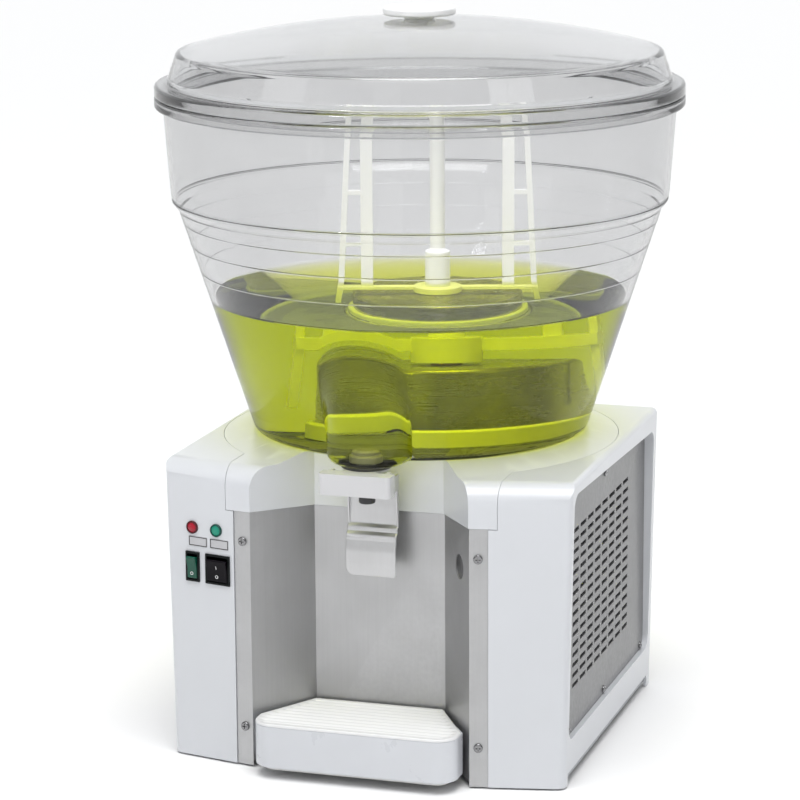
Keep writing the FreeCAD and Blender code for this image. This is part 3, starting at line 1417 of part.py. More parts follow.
def stirrer():
    """Stirrer column, base with arms, and the two ladder blades."""
    base_z = DRIVE_BASE_Z
    base_top = base_z + STIRRER_BASE_HEIGHT
    base = Part.makeCylinder(STIRRER_BASE_RADIUS, STIRRER_BASE_HEIGHT, Vector(0, DRUM_Y, base_z))
    arm_reach = LEG_X + LEG_WIDTH / 2
    arms = box(
        -arm_reach,
        arm_reach,
        DRUM_Y - ARM_WIDTH / 2,
        DRUM_Y + ARM_WIDTH / 2,
        base_z + ARM_RISE,
        base_top - 1.5,
    )
    socket = hexagon(DRIVE_HEAD_FLATS + 2 * DRIVE_GAP, base_z - 1, base_z + DRIVE_HEAD_HEIGHT + DRIVE_GAP)
    bottom = base.fuse(arms).cut(turned_back(socket)).removeSplitter()
    shoulder = base_top + COLUMN_SHOULDER_RISE
    column = turned(
        [
            (0, base_top),
            (COLUMN_RADIUS, base_top),
            (COLUMN_RADIUS, shoulder - 3.0),
            (UPPER_COLUMN_RADIUS, shoulder),
            (UPPER_COLUMN_RADIUS, STIRRER_TOP - 2.0),
            (UPPER_COLUMN_RADIUS - 2.0, STIRRER_TOP),
            (0, STIRRER_TOP),
        ],
        0,
        DRUM_Y,
    )
    bore = UPPER_COLUMN_RADIUS - COLUMN_WALL
    hollow = Part.makeCylinder(bore, STIRRER_TOP - base_top - 8.0, Vector(0, DRUM_Y, base_top - 1))
    column = column.cut(hollow)
    blade = ladder_blade(base_top)
    return {
        "stirrer_base": turned_with_stirrer(bottom),
        "stirrer_column": turned_with_stirrer(column),
        "stirrer_blade_right": turned_with_stirrer(blade),
        "stirrer_blade_left": turned_with_stirrer(mirrored(blade)),
    }


def turned_back(shape):
    """Turn a shape back by the stirrer's angle, so that it stays square to the cabinet."""
    placed = shape.copy()
    placed.rotate(Vector(0, DRUM_Y, 0), Vector(0, 0, 1), -STIRRER_ANGLE)
    return placed


def ladder_blade(arm_top):
    """One blade: a thick post, a thin slanting leg and its crossbars."""
    low = arm_top - 1.5
    post = box(
        THICK_POST_X - THICK_POST_WIDTH / 2,
        THICK_POST_X + THICK_POST_WIDTH / 2,
        DRUM_Y - THICK_POST_DEPTH / 2,
        DRUM_Y + THICK_POST_DEPTH / 2,
        low,
        STIRRER_TOP,
    )
    arm_bottom = DRIVE_BASE_Z + ARM_RISE
    half = LEG_WIDTH / 2
    lean = LEG_LEAN / (STIRRER_TOP - low)
    foot_x = LEG_X + lean * (arm_bottom - LEG_BOTTOM)
    upper = prism_y(
        [
            (LEG_X - half, low),
            (LEG_X + half, low),
            (LEG_TOP_X + half, STIRRER_TOP),
            (LEG_TOP_X - half, STIRRER_TOP),
        ],
        DRUM_Y - half,
        DRUM_Y + half,
    )
    lower = prism_y(
        [
            (foot_x - half, LEG_BOTTOM),
            (foot_x + half, LEG_BOTTOM),
            (LEG_X + half, arm_bottom),
            (LEG_X - half, arm_bottom),
        ],
        DRUM_Y - half,
        DRUM_Y + half,
    )
    bars = []
    for drop in CROSSBAR_DROPS:
        height = STIRRER_TOP - drop
        share = (height - low) / (STIRRER_TOP - low)
        end_x = LEG_X + (LEG_TOP_X - LEG_X) * share
        bars.append(
            box(THICK_POST_X, end_x, DRUM_Y - half, DRUM_Y + half, height, height + CROSSBAR_HEIGHT)
        )
    frame = post.fuse([upper] + bars).removeSplitter()
    return Part.Compound([frame, lower])


def tap_fixed():
    """Gasket, housing, nut, nozzle and lever pin of the tap."""
    gasket = turned(
        [
            (NOSE_HOLE_RADIUS, HOUSING_TOP),
            (GASKET_RADIUS, HOUSING_TOP),
            (GASKET_RADIUS, BOWL_BOTTOM),
            (NOSE_HOLE_RADIUS, BOWL_BOTTOM),
        ],
        0,
        TAP_Y,
    )
    nut = turned(
        [
            (SPIGOT_RADIUS, BOWL_FLOOR),
            (NUT_RADIUS, BOWL_FLOOR),
            (NUT_RADIUS, NUT_TOP - 1.5),
            (NUT_RADIUS - 1.5, NUT_TOP),
            (SPIGOT_RADIUS, NUT_TOP),
        ],
        0,
        TAP_Y,
    )
    nozzle = turned(
        [
            (NOZZLE_BORE, NOZZLE_BOTTOM),
            (NOZZLE_RADIUS - 1.0, NOZZLE_BOTTOM),
            (NOZZLE_RADIUS, NOZZLE_BOTTOM + 1.0),
            (NOZZLE_RADIUS, HOUSING_BOTTOM),
            (BOSS_RADIUS, HOUSING_BOTTOM),
            (BOSS_RADIUS, HOUSING_BOTTOM + 2.0),
            (NOZZLE_BORE, HOUSING_BOTTOM + 2.0),
        ],
        0,
        TAP_Y,
    )
    pin_reach = HOUSING_HALF_WIDTH - HOUSING_WALL
    pin_left = (-pin_reach, LEVER_PIVOT_Y, LEVER_PIVOT_Z)
    pin_right = (pin_reach, LEVER_PIVOT_Y, LEVER_PIVOT_Z)
    return {
        "tap_gasket": gasket,
        "tap_nut": nut,
        "tap_nozzle": nozzle,
        "lever_pin": rod(LEVER_PIN_RADIUS, pin_left, pin_right),
        "tap_housing": tap_housing(),
    }


def tap_housing():
    """Tap housing: front cover, top plate, boss and threaded spigot."""
    back = HOUSING_FRONT_Y + HOUSING_DEPTH
    outline = [
        (-HOUSING_HALF_WIDTH, HOUSING_FRONT_Y),
        (HOUSING_HALF_WIDTH, HOUSING_FRONT_Y),
        (HOUSING_HALF_WIDTH, back),
        (-HOUSING_HALF_WIDTH, back),
    ]
    case = prism_z(outline, HOUSING_BOTTOM, HOUSING_TOP)
    front_edges = [
        edge
        for edge in case.Edges
        if abs(edge.tangentAt(edge.FirstParameter).z) > 0.99 and edge.CenterOfMass.y < HOUSING_FRONT_Y + 1
    ]
    case = case.makeFillet(HOUSING_CORNER, front_edges)
    wall = HOUSING_WALL
    hollow = box(
        -HOUSING_HALF_WIDTH + wall,
        HOUSING_HALF_WIDTH - wall,
        HOUSING_FRONT_Y + wall,
        back + 5,
        HOUSING_BOTTOM - 5,
        HOUSING_TOP - wall,
    )
    case = case.cut(hollow)
    roof = box(-BOSS_RADIUS - 4, BOSS_RADIUS + 4, back - 2, TAP_Y, HOUSING_TOP - wall, HOUSING_TOP)
    disc = Part.makeCylinder(GASKET_RADIUS - 2, wall, Vector(0, TAP_Y, HOUSING_TOP - wall))
    boss = Part.makeCylinder(
        BOSS_RADIUS, HOUSING_TOP - HOUSING_BOTTOM - 2.0, Vector(0, TAP_Y, HOUSING_BOTTOM + 2.0)
    )
    spigot = Part.makeCylinder(SPIGOT_RADIUS, NUT_TOP - HOUSING_TOP + 1, Vector(0, TAP_Y, HOUSING_TOP - 1))
    bore = Part.makeCylinder(SPIGOT_BORE, 80, Vector(0, TAP_Y, HOUSING_BOTTOM - 5))
    slot = box(
        -BOSS_RADIUS - 2,
        BOSS_RADIUS + 2,
        TAP_Y - LIFT_WING_THICKNESS / 2 - 1.0,
        TAP_Y + LIFT_WING_THICKNESS / 2 + 1.0,
        WING_BOTTOM - 2.0,
        HOUSING_TOP - wall,
    )
    pin_hole = rod(
        LEVER_PIN_RADIUS,
        (-HOUSING_HALF_WIDTH - 5, LEVER_PIVOT_Y, LEVER_PIVOT_Z),
        (HOUSING_HALF_WIDTH + 5, LEVER_PIVOT_Y, LEVER_PIVOT_Z),
    )
    ears = [ear_plate(side) for side in (-1, 1)]
    solid = fuse_all([case, roof, disc, boss, spigot] + ears)
    return solid.cut([bore, slot, pin_hole]).removeSplitter()


def ear_plate(side):
    """Ear below the roof of the housing that holds one end of the lever pin."""
    inner = LEVER_HALF_WIDTH + 1.0
    outer = inner + 3.5
    x0 = min(side * inner, side * outer)
    x1 = max(side * inner, side * outer)
    back = HOUSING_FRONT_Y + HOUSING_DEPTH
    plate = box(x0, x1, HOUSING_FRONT_Y + 1.0, back + 8.0, HOUSING_BOTTOM + 1.0, HOUSING_TOP)
    return plate


def valve_plunger():
    """Plunger with its head above the spigot and its two lift wings."""
    head_low = NUT_TOP + VALVE_GAP
    head = turned(
        [
            (0, head_low),
            (VALVE_HEAD_RADIUS, head_low),
            (VALVE_HEAD_RADIUS, head_low + VALVE_HEAD_HEIGHT - 2.0),
            (VALVE_HEAD_RADIUS - 2.0, head_low + VALVE_HEAD_HEIGHT),
            (0, head_low + VALVE_HEAD_HEIGHT),
        ],
        0,
        TAP_Y,
    )
    stem = Part.makeCylinder(STEM_RADIUS, head_low + 1 - WING_BOTTOM, Vector(0, TAP_Y, WING_BOTTOM))
    wing = box(
        -LIFT_WING_HALF,
        LIFT_WING_HALF,
        TAP_Y - LIFT_WING_THICKNESS / 2,
        TAP_Y + LIFT_WING_THICKNESS / 2,
        WING_BOTTOM,
        WING_BOTTOM + LIFT_WING_HEIGHT,
    )
    return fuse_all([head, stem, wing])


def tap_lever():
    """Bent lever: pivot eyes, side arms, back plate, step and cup paddle."""
    sheet = LEVER_SHEET
    arm_top = WING_BOTTOM - LIFT_WING_GAP
    side_arm = [
        (LEVER_PIVOT_Y, LEVER_PIVOT_Z - LEVER_EYE_RADIUS),
        (LEVER_PIVOT_Y, arm_top),
        (LEVER_BACK_Y + sheet / 2, arm_top),
        (LEVER_BACK_Y + sheet / 2, LEVER_BEND_Z),
        (LEVER_BACK_Y - sheet / 2 - 5.0, LEVER_BEND_Z + 4.0),
        (LEVER_BACK_Y - sheet / 2 - 5.0, LEVER_PIVOT_Z - LEVER_EYE_RADIUS - 8.0),
    ]
    arms = []
    for side in (-1, 1):
        outer = side * LEVER_HALF_WIDTH
        inner = side * (LEVER_HALF_WIDTH - sheet)
        x0 = min(outer, inner)
        x1 = max(outer, inner)
        plate = prism_x(side_arm, x0, x1)
        eye = rod(LEVER_EYE_RADIUS, (x0, LEVER_PIVOT_Y, LEVER_PIVOT_Z), (x1, LEVER_PIVOT_Y, LEVER_PIVOT_Z))
        arms.append(plate.fuse(eye))
    back = box(
        -LEVER_HALF_WIDTH,
        LEVER_HALF_WIDTH,
        LEVER_BACK_Y - sheet / 2,
        LEVER_BACK_Y + sheet / 2,
        LEVER_BEND_Z,
        HOUSING_BOTTOM - 1.0,
    )
    shelf_y = LEVER_BACK_Y - LEVER_STEP
    shelf = box(
        -LEVER_HALF_WIDTH,
        LEVER_HALF_WIDTH,
        shelf_y - sheet / 2,
        LEVER_BACK_Y + sheet / 2,
        LEVER_BEND_Z - sheet,
        LEVER_BEND_Z,
    )
    paddle = box(
        -LEVER_HALF_WIDTH,
        LEVER_HALF_WIDTH,
        shelf_y - sheet / 2,
        shelf_y + sheet / 2,
        LEVER_BOTTOM,
        LEVER_BEND_Z,
    )
    low_corners = [
        edge
        for edge in paddle.Edges
        if abs(edge.tangentAt(edge.FirstParameter).y) > 0.99 and edge.CenterOfMass.z < LEVER_BOTTOM + 1
    ]
    paddle = paddle.makeFillet(LEVER_PADDLE_RADIUS, low_corners)
    pin_hole = rod(
        LEVER_PIN_RADIUS + SHAFT_CLEARANCE,
        (-LEVER_HALF_WIDTH - 5, LEVER_PIVOT_Y, LEVER_PIVOT_Z),
        (LEVER_HALF_WIDTH + 5, LEVER_PIVOT_Y, LEVER_PIVOT_Z),
    )
    return fuse_all(arms + [back, shelf, paddle]).cut(pin_hole).removeSplitter()


def tray_plan(inset):
    """Plan of the drip tray, set in by a wall, fitting the recess."""
    slope = (RECESS_HALF - MOUTH_HALF) / (RECESS_Y - FRONT_Y)
    gap = TRAY_CLEARANCE + inset
    side_gap = gap * math.sqrt(1 + slope * slope)
    back = RECESS_Y - gap
    half = TRAY_HALF_WIDTH - inset
    back_half = RECESS_HALF + slope * (back - RECESS_Y) - side_gap
    mouth_y = RECESS_Y + (half - RECESS_HALF + side_gap) / slope
    front = TRAY_FRONT_Y + inset
    right = [(half, front), (half, mouth_y), (back_half, back)]
    return right + [(-x, y) for x, y in right[::-1]]


def tray_block(inset, z0, z1):
    """Upright block on the tray's plan with round front corners."""
    block = prism_z(tray_plan(inset), z0, z1)
    front = TRAY_FRONT_Y + inset
    edges = [
        edge
        for edge in block.Edges
        if abs(edge.tangentAt(edge.FirstParameter).z) > 0.99 and edge.CenterOfMass.y < front + 1
    ]
    return block.makeFillet(TRAY_CORNER - inset, edges)


def drip_tray():
    """Open drip tray."""
    outer = tray_block(0.0, TRAY_BOTTOM, TRAY_TOP)
    inner = tray_block(TRAY_WALL, TRAY_BOTTOM + TRAY_WALL, TRAY_TOP + 5)
    return outer.cut(inner)


def drip_grid():
    """Ribbed grid on the tray: a plate with long slots and raised ribs."""
    low = TRAY_TOP
    plate = tray_block(0.0, low, low + GRID_THICKNESS)
    lip = tray_block(TRAY_WALL + 0.4, low - 3.0, low + 0.5)
    lip = lip.cut(tray_block(TRAY_WALL + 2.4, low - 4.0, low + 1.0))
    front = TRAY_FRONT_Y + GRID_MARGIN
    back = RECESS_Y - TRAY_CLEARANCE - GRID_MARGIN
    pitch = (back - front) / GRID_RIBS
    slots = []
    for index in range(GRID_RIBS):
        y0 = front + index * pitch + (pitch - GRID_SLOT_WIDTH) / 2
        y_far = y0 + GRID_SLOT_WIDTH
        share = (y_far - RECESS_Y) / (FRONT_Y - RECESS_Y)
        half = RECESS_HALF + (MOUTH_HALF - RECESS_HALF) * min(max(share, 0.0), 1.0)
        half = min(half, TRAY_HALF_WIDTH) - GRID_MARGIN - TRAY_CLEARANCE
        if y0 < TRAY_FRONT_Y + TRAY_CORNER:
            half = half - TRAY_CORNER * 0.35
        slots.append(box(-half, -GRID_BRIDGE / 2, y0, y_far, low - 5, low + 10))
        slots.append(box(GRID_BRIDGE / 2, half, y0, y_far, low - 5, low + 10))
    return plate.fuse(lip).cut(Part.Compound(slots))


def tongue_block(gap):
    """Tongue on the base pan that carries the drip tray, grown by a gap at its sides and top."""
    top = TRAY_BOTTOM - TONGUE_GAP
    plan = tray_plan(TONGUE_INSET - gap)
    front = TRAY_FRONT_Y + TONGUE_INSET - gap
    back_half = plan[2][0]
    tail = [(back_half, TONGUE_BACK_Y + gap), (-back_half, TONGUE_BACK_Y + gap)]
    plan = plan[:3] + tail + plan[3:]
    block = prism_z(plan, PAN_TOP, top + gap)
    edges = [
        edge
        for edge in block.Edges
        if abs(edge.tangentAt(edge.FirstParameter).z) > 0.99 and edge.CenterOfMass.y < front + 1
    ]
    return block.makeFillet(TRAY_CORNER - TONGUE_INSET, edges)


def compressor():
    """Hermetic compressor: round shell on a foot plate, with its terminal cover."""
    low = COMPRESSOR_BOTTOM
    high = low + COMPRESSOR_HEIGHT
    shell = turned(
        [
            (0, low),
            (COMPRESSOR_RADIUS - 14, low),
            (COMPRESSOR_RADIUS, low + 16),
            (COMPRESSOR_RADIUS, high - 34),
            (COMPRESSOR_RADIUS - 18, high - 8),
            (COMPRESSOR_RADIUS - 34, high),
            (0, high),
        ],
        COMPRESSOR_X,
        COMPRESSOR_Y,
    )
    plate = box(
        COMPRESSOR_X - GROMMET_SPREAD - 12,
        COMPRESSOR_X + GROMMET_SPREAD + 12,
        COMPRESSOR_Y - GROMMET_SPREAD - 12,
        COMPRESSOR_Y + GROMMET_SPREAD + 12,
        low - 3,
        low + 1,
    )
    cover = box(
        COMPRESSOR_X + COMPRESSOR_RADIUS - 6,
        COMPRESSOR_X + COMPRESSOR_RADIUS + 16,
        COMPRESSOR_Y - TERMINAL_WIDTH,
        COMPRESSOR_Y + TERMINAL_WIDTH,
        low + TERMINAL_LOW,
        low + TERMINAL_HIGH,
    )
    holes = []
    for x, y in grommet_spots():
        holes.append(Part.makeCylinder(GROMMET_RADIUS * 0.5, 20, Vector(x, y, low - 10)))
    return fuse_all([shell, plate, cover]).cut(holes)


def grommet_spots():
    """Plan positions of the compressor's rubber mounts."""
    spots = []
    for x_sign in (-1, 1):
        for y_sign in (-1, 1):
            spots.append((COMPRESSOR_X + x_sign * GROMMET_SPREAD, COMPRESSOR_Y + y_sign * GROMMET_SPREAD))
    return spots


def grommets():
    """Rubber mounts between the base pan and the compressor."""
    placed = []
    top = COMPRESSOR_BOTTOM - 3
    for x, y in grommet_spots():
        body = Part.makeCylinder(GROMMET_RADIUS, top - PAN_TOP, Vector(x, y, PAN_TOP))
        neck = Part.makeCylinder(GROMMET_RADIUS * 0.5, 9, Vector(x, y, top - 1))
        placed.append(body.fuse(neck))
    return Part.Compound(placed)


def condenser():
    """Condenser: upright fins on rows of tubes, with end plates."""
    x0 = CONDENSER_X0
    x1 = x0 + CONDENSER_DEPTH
    y0 = CONDENSER_Y0
    y1 = y0 + CONDENSER_WIDTH
    z0 = CONDENSER_Z0
    z1 = z0 + CONDENSER_HEIGHT
    pieces = []
    for index in range(CONDENSER_FINS):
        y = y0 + (CONDENSER_WIDTH - FIN_THICKNESS) * index / (CONDENSER_FINS - 1)
        pieces.append(box(x0, x1, y, y + FIN_THICKNESS, z0, z1))
    pitch = CONDENSER_HEIGHT / CONDENSER_TUBE_ROWS
    for row in range(CONDENSER_TUBE_ROWS):
        z = z0 + pitch * (row + 0.5)
        for x in (x0 + CONDENSER_DEPTH * 0.28, x0 + CONDENSER_DEPTH * 0.72):
            pieces.append(rod(CONDENSER_TUBE_RADIUS, (x, y0 - 6, z), (x, y1 + 6, z)))
    leg_front = box(x0 + 4, x1 - 4, y0, y0 + FIN_THICKNESS + 1, PAN_TOP, z0 + 4)
    leg_back = box(x0 + 4, x1 - 4, y1 - FIN_THICKNESS - 1, y1, PAN_TOP, z0 + 4)
    pieces = pieces + [leg_front, leg_back, box(x0 + 4, x1 - 4, y0, y1, PAN_TOP, PAN_TOP + PAN_SHEET)]
    return fuse_all(pieces)


def fan_parts():
    """Fan shroud, motor and the turning fan behind the condenser."""
    centre_y = CONDENSER_Y0 + CONDENSER_WIDTH / 2
    centre_z = CONDENSER_Z0 + CONDENSER_HEIGHT / 2
    plate_x1 = CONDENSER_X0 - SHROUD_GAP
    plate_x0 = plate_x1 - SHROUD_SHEET
    half = CONDENSER_WIDTH / 2
    opening = FAN_RADIUS + FAN_TIP_GAP
    y0 = centre_y - half
    y1 = centre_y + half
    z0 = CONDENSER_Z0
    z1 = CONDENSER_Z0 + CONDENSER_HEIGHT
    plate = box(plate_x0, plate_x1, y0, y1, z0, z1)
    collar_x0 = plate_x0 - FAN_DEPTH
    collar = rod(opening + SHROUD_SHEET, (collar_x0, centre_y, centre_z), (plate_x1, centre_y, centre_z))
    hole = rod(opening, (collar_x0 - 5, centre_y, centre_z), (plate_x1 + 5, centre_y, centre_z))
    motor_x1 = plate_x0 - FAN_DEPTH - 2.0
    motor_x0 = motor_x1 - FAN_MOTOR_LENGTH
    shroud = plate.fuse(collar).cut(hole)
    arm_low = centre_z - opening - SHROUD_SHEET * 1.5
    arm_high = centre_z + opening + SHROUD_SHEET * 1.5
    strut = box(motor_x1 - 6, motor_x1 - 3, centre_y - 7, centre_y + 7, arm_low, arm_high)
    tie_low = box(motor_x1 - 6, plate_x0, centre_y - 7, centre_y + 7, arm_low, arm_low + SHROUD_SHEET)
    tie_high = box(motor_x1 - 6, plate_x0, centre_y - 7, centre_y + 7, arm_high - SHROUD_SHEET, arm_high)
    motor_space = rod(FAN_MOTOR_RADIUS, (motor_x0, centre_y, centre_z), (motor_x1, centre_y, centre_z))
    lips = [
        box(plate_x0, CONDENSER_X0, y0, y1, z1 - SHROUD_LIP, z1),
        box(plate_x0, CONDENSER_X0, y0, y1, z0, z0 + SHROUD_LIP),
    ]
    shroud = fuse_all([shroud, strut, tie_low, tie_high] + lips).cut(motor_space)
    motor = rod(FAN_MOTOR_RADIUS, (motor_x0, centre_y, centre_z), (motor_x1 - 1.0, centre_y, centre_z))
    bore_radius = SHAFT_RADIUS * 0.6 + SHAFT_CLEARANCE
    spindle_bore = rod(bore_radius, (motor_x1 - 12, centre_y, centre_z), (motor_x1 + 2, centre_y, centre_z))
    motor = motor.cut(spindle_bore)
    fan_x0 = motor_x1 + 1.5
    fan_x1 = fan_x0 + FAN_DEPTH - 3.0
    hub = rod(FAN_HUB_RADIUS, (fan_x0, centre_y, centre_z), (fan_x1, centre_y, centre_z))
    spindle = rod(SHAFT_RADIUS * 0.6, (motor_x1 - 11, centre_y, centre_z), (fan_x0 + 2, centre_y, centre_z))
    pieces = [hub, spindle]
    for index in range(FAN_BLADES):
        pieces.append(fan_blade(fan_x0 + 1.0, fan_x1 - 1.0, centre_y, centre_z, 360.0 * index / FAN_BLADES))
    return {"fan_shroud": shroud, "fan_motor": motor, "condenser_fan": fuse_all(pieces)}


def fan_blade(x0, x1, centre_y, centre_z, angle):
    """One flat twisted-looking blade, set at a pitch across the hub."""
    width = FAN_BLADE_WIDTH
    blade = prism_x(
        [
            (centre_y - width * 0.30, centre_z + FAN_HUB_RADIUS - 4),
            (centre_y + width * 0.30, centre_z + FAN_HUB_RADIUS - 4),
            (centre_y + width, centre_z + FAN_RADIUS * 0.86),
            (centre_y - width * 0.1, centre_z + FAN_RADIUS * 0.97),
        ],
        -1.0,
        1.0,
    )
    middle = (x0 + x1) / 2
    blade.rotate(Vector(0, centre_y, centre_z), Vector(0, 0, 1), FAN_BLADE_PITCH)
    blade.translate(Vector(middle, 0, 0))
    blade.rotate(Vector(0, centre_y, centre_z), Vector(1, 0, 0), angle)
    reach = 1.5 * FAN_RADIUS
    keep = box(x0, x1, centre_y - reach, centre_y + reach, centre_z - reach, centre_z + reach)
    return blade.common(keep)


def stir_motor_parts():
    """Gearbox with its motor below the deck, and the hanger that holds it."""
    half = STIR_MOTOR_SIZE / 2
    top = GEARBOX_BOTTOM + GEARBOX_HEIGHT
    gearbox = box(-half, half, DRUM_Y - half, DRUM_Y + half, GEARBOX_BOTTOM, top)
    can = Part.makeCylinder(
        STIR_MOTOR_RADIUS, STIR_MOTOR_LENGTH + 1, Vector(0, DRUM_Y, GEARBOX_BOTTOM - STIR_MOTOR_LENGTH)
    )
    bore = Part.makeCylinder(SHAFT_RADIUS + SHAFT_CLEARANCE, 14, Vector(0, DRUM_Y, top - 11))
    motor = gearbox.fuse(can).cut(bore)
    sheet = POST_SHEET
    base = box(-half, half, DRUM_Y - half, DRUM_Y + half, top, top + sheet)
    wings = []
    for side in (-1, 1):
        x0 = min(side * half, side * (half - sheet))
        x1 = max(side * half, side * (half - sheet))
        wings.append(box(x0, x1, DRUM_Y - half, DRUM_Y + half, top, DECK_BOTTOM))
        lug0 = min(side * half, side * (half + 14))
        lug1 = max(side * half, side * (half + 14))
        wings.append(box(lug0, lug1, DRUM_Y - half, DRUM_Y + half, DECK_BOTTOM - sheet, DECK_BOTTOM))
    shaft_hole = Part.makeCylinder(SHAFT_RADIUS + 3, 20, Vector(0, DRUM_Y, top - 5))
    bracket = fuse_all([base] + wings).cut(shaft_hole)
    return {"stir_motor": motor, "motor_bracket": bracket}


def pipes():
    """Filter drier and the three refrigerant pipes, end to end."""
    top = COMPRESSOR_BOTTOM + COMPRESSOR_HEIGHT
    pitch = CONDENSER_HEIGHT / CONDENSER_TUBE_ROWS
    tube_y = CONDENSER_Y0 + CONDENSER_WIDTH + 6
    tube_x = CONDENSER_X0 + CONDENSER_DEPTH * 0.28
    inlet_z = CONDENSER_Z0 + CONDENSER_HEIGHT - pitch / 2
    outlet_z = CONDENSER_Z0 + pitch / 2
    port_x = COMPRESSOR_X + DISCHARGE_PORT_X
    run_y = COMPRESSOR_Y + DISCHARGE_RUN
    run_z = top + DISCHARGE_RISE
    discharge = tube(
        [
            (port_x, COMPRESSOR_Y, top),
            (port_x, COMPRESSOR_Y, run_z),
            (port_x, run_y, run_z),
            (tube_x, run_y, run_z),
            (tube_x, run_y, inlet_z),
            (tube_x, tube_y, inlet_z),
        ],
        PIPE_RADIUS,
        PIPE_BEND,
    )
    drier_x = tube_x - DRIER_SIDE_STEP
    drier_y = tube_y + LIQUID_RUN
    drier_low = outlet_z + DRIER_RISE
    liquid = tube(
        [
            (tube_x, tube_y, outlet_z),
            (tube_x, drier_y, outlet_z),
            (drier_x, drier_y, outlet_z),
            (drier_x, drier_y, drier_low),
        ],
        PIPE_RADIUS,
        PIPE_BEND,
    )
    drier = turned(
        [
            (0, drier_low),
            (PIPE_RADIUS + 1, drier_low),
            (DRIER_RADIUS, drier_low + 12),
            (DRIER_RADIUS, drier_low + DRIER_LENGTH - 12),
            (PIPE_RADIUS + 1, drier_low + DRIER_LENGTH),
            (0, drier_low + DRIER_LENGTH),
        ],
        drier_x,
        drier_y,
    )
    riser_y = DRUM_Y + RISER_FROM_DRUM
    suction_x = COMPRESSOR_X + SUCTION_PORT_X
    suction = tube(
        [
            (RISER_X, riser_y, DECK_TOP + 2.0),
            (RISER_X, riser_y, top + SUCTION_RISE),
            (suction_x, riser_y, top + SUCTION_RISE),
            (suction_x, riser_y, top - SUCTION_PLUNGE),
        ],
        PIPE_RADIUS,
        PIPE_BEND,
    )
    return {
        "discharge_pipe": discharge,
        "liquid_pipe": liquid,
        "filter_drier": drier,
        "suction_pipe": suction.cut(compressor()),
    }


def electric_boxes():
    """Relay box behind the left panel and thermostat on the back panel."""
    relay_x = RELAY_SIDE_INSET - BASE_HALF_WIDTH
    relay_y = FRONT_Y + RELAY_FRONT_INSET
    relay_top = PAN_TOP + RELAY_HEIGHT
    relay = box(relay_x, relay_x + RELAY_WIDTH, relay_y, relay_y + RELAY_DEPTH, PAN_TOP, relay_top)
    front_y0 = SHELL_BACK_Y - THERMOSTAT_DEPTH
    case_x1 = THERMOSTAT_X + THERMOSTAT_WIDTH
    case_z1 = THERMOSTAT_Z + THERMOSTAT_HEIGHT
    case = box(THERMOSTAT_X, case_x1, front_y0, SHELL_BACK_Y, THERMOSTAT_Z, case_z1)
    spindle_x = (THERMOSTAT_X + case_x1) / 2
    spindle_z = (THERMOSTAT_Z + case_z1) / 2
    spindle_start = (spindle_x, front_y0 - THERMOSTAT_SPINDLE, spindle_z)
    spindle = rod(THERMOSTAT_SPINDLE * 0.6, spindle_start, (spindle_x, front_y0 + 1.0, spindle_z))
    return {"relay_box": relay, "thermostat": case.fuse(spindle)}


def build():
    """Every node of the dispenser by name."""
    right = side_shell().fuse(back_flange()).removeSplitter()
    left = mirrored(right)
    screw_holes = strip_screw_holes(0.0) + back_screw_holes()
    nodes = {
        "left_side_shell": left.cut(control_holes() + screw_holes),
        "right_side_shell": right.cut(screw_holes),
        "recess_panel": recess_panel().cut(screw_holes),
        "recess_screws": strip_screws(),
        "top_cover": top_cover(),
        "right_vent_insert": vent_insert(),
        "left_vent_insert": mirrored(vent_insert()),
        "insert_screws": insert_screws(),
        "base_pan": base_pan(),
        "rubber_feet": rubber_feet(),
        "frame_posts": frame_posts(),
        "deck_plate": deck_plate(),
        "back_panel": back_panel(),
        "back_screws": back_screws(),
        "cable_gland": cable_gland(),
        "bowl": bowl(),
        "lid": lid(),
        "lid_knob": lid_knob(),
        "knob_nut": knob_nut(),
        "evaporator_drum": evaporator_drum(),
        "drum_seal": drum_seal(),
        "shaft_bush": shaft_bush(),
        "drive_shaft": drive_shaft(),
        "valve_plunger": valve_plunger(),
        "tap_lever": tap_lever(),
        "drip_tray": drip_tray(),
        "drip_grid": drip_grid(),
        "tray_tongue": tongue_block(0.0),
        "compressor": compressor(),
        "compressor_grommets": grommets(),
    }
    coil, core = drum_inside()
    nodes["evaporator_coil"] = coil
    nodes["drum_foam"] = core
    nodes["condenser"] = condenser()
    nodes.update(controls())
    nodes.update(stirrer())
    nodes.update(tap_fixed())
    nodes.update(fan_parts())
    nodes.update(stir_motor_parts())
    nodes.update(pipes())
    nodes.update(electric_boxes())
    return nodes


def main():
    """Write one STEP file for each node."""
    os.makedirs("parts", exist_ok=True)
    nodes = build()
    for name, shape in sorted(nodes.items()):
        shape.exportStep(os.path.join("parts", name + ".step"))
        print(name, len(shape.Solids), "solids, valid", shape.isValid())


if __name__ == "__main__":
    main()
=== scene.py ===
"""Blender scene of the juice dispenser.

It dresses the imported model, which is the frame, and makes the clear bowl and lid, the juice, the
controls, the tap's lever and the tray's grid anew.  Sizes are in millimetres and become metres
where a mesh is made; only the studio is in metres.  +X is the right of the front, -Y is the front
and +Z is up.
"""

import json
import logging
import math
from collections.abc import Callable, Sequence
from dataclasses import dataclass
from enum import Enum

import bmesh
import bpy
import numpy as np
from mathutils import Matrix, Vector
from mathutils.geometry import tessellate_polygon

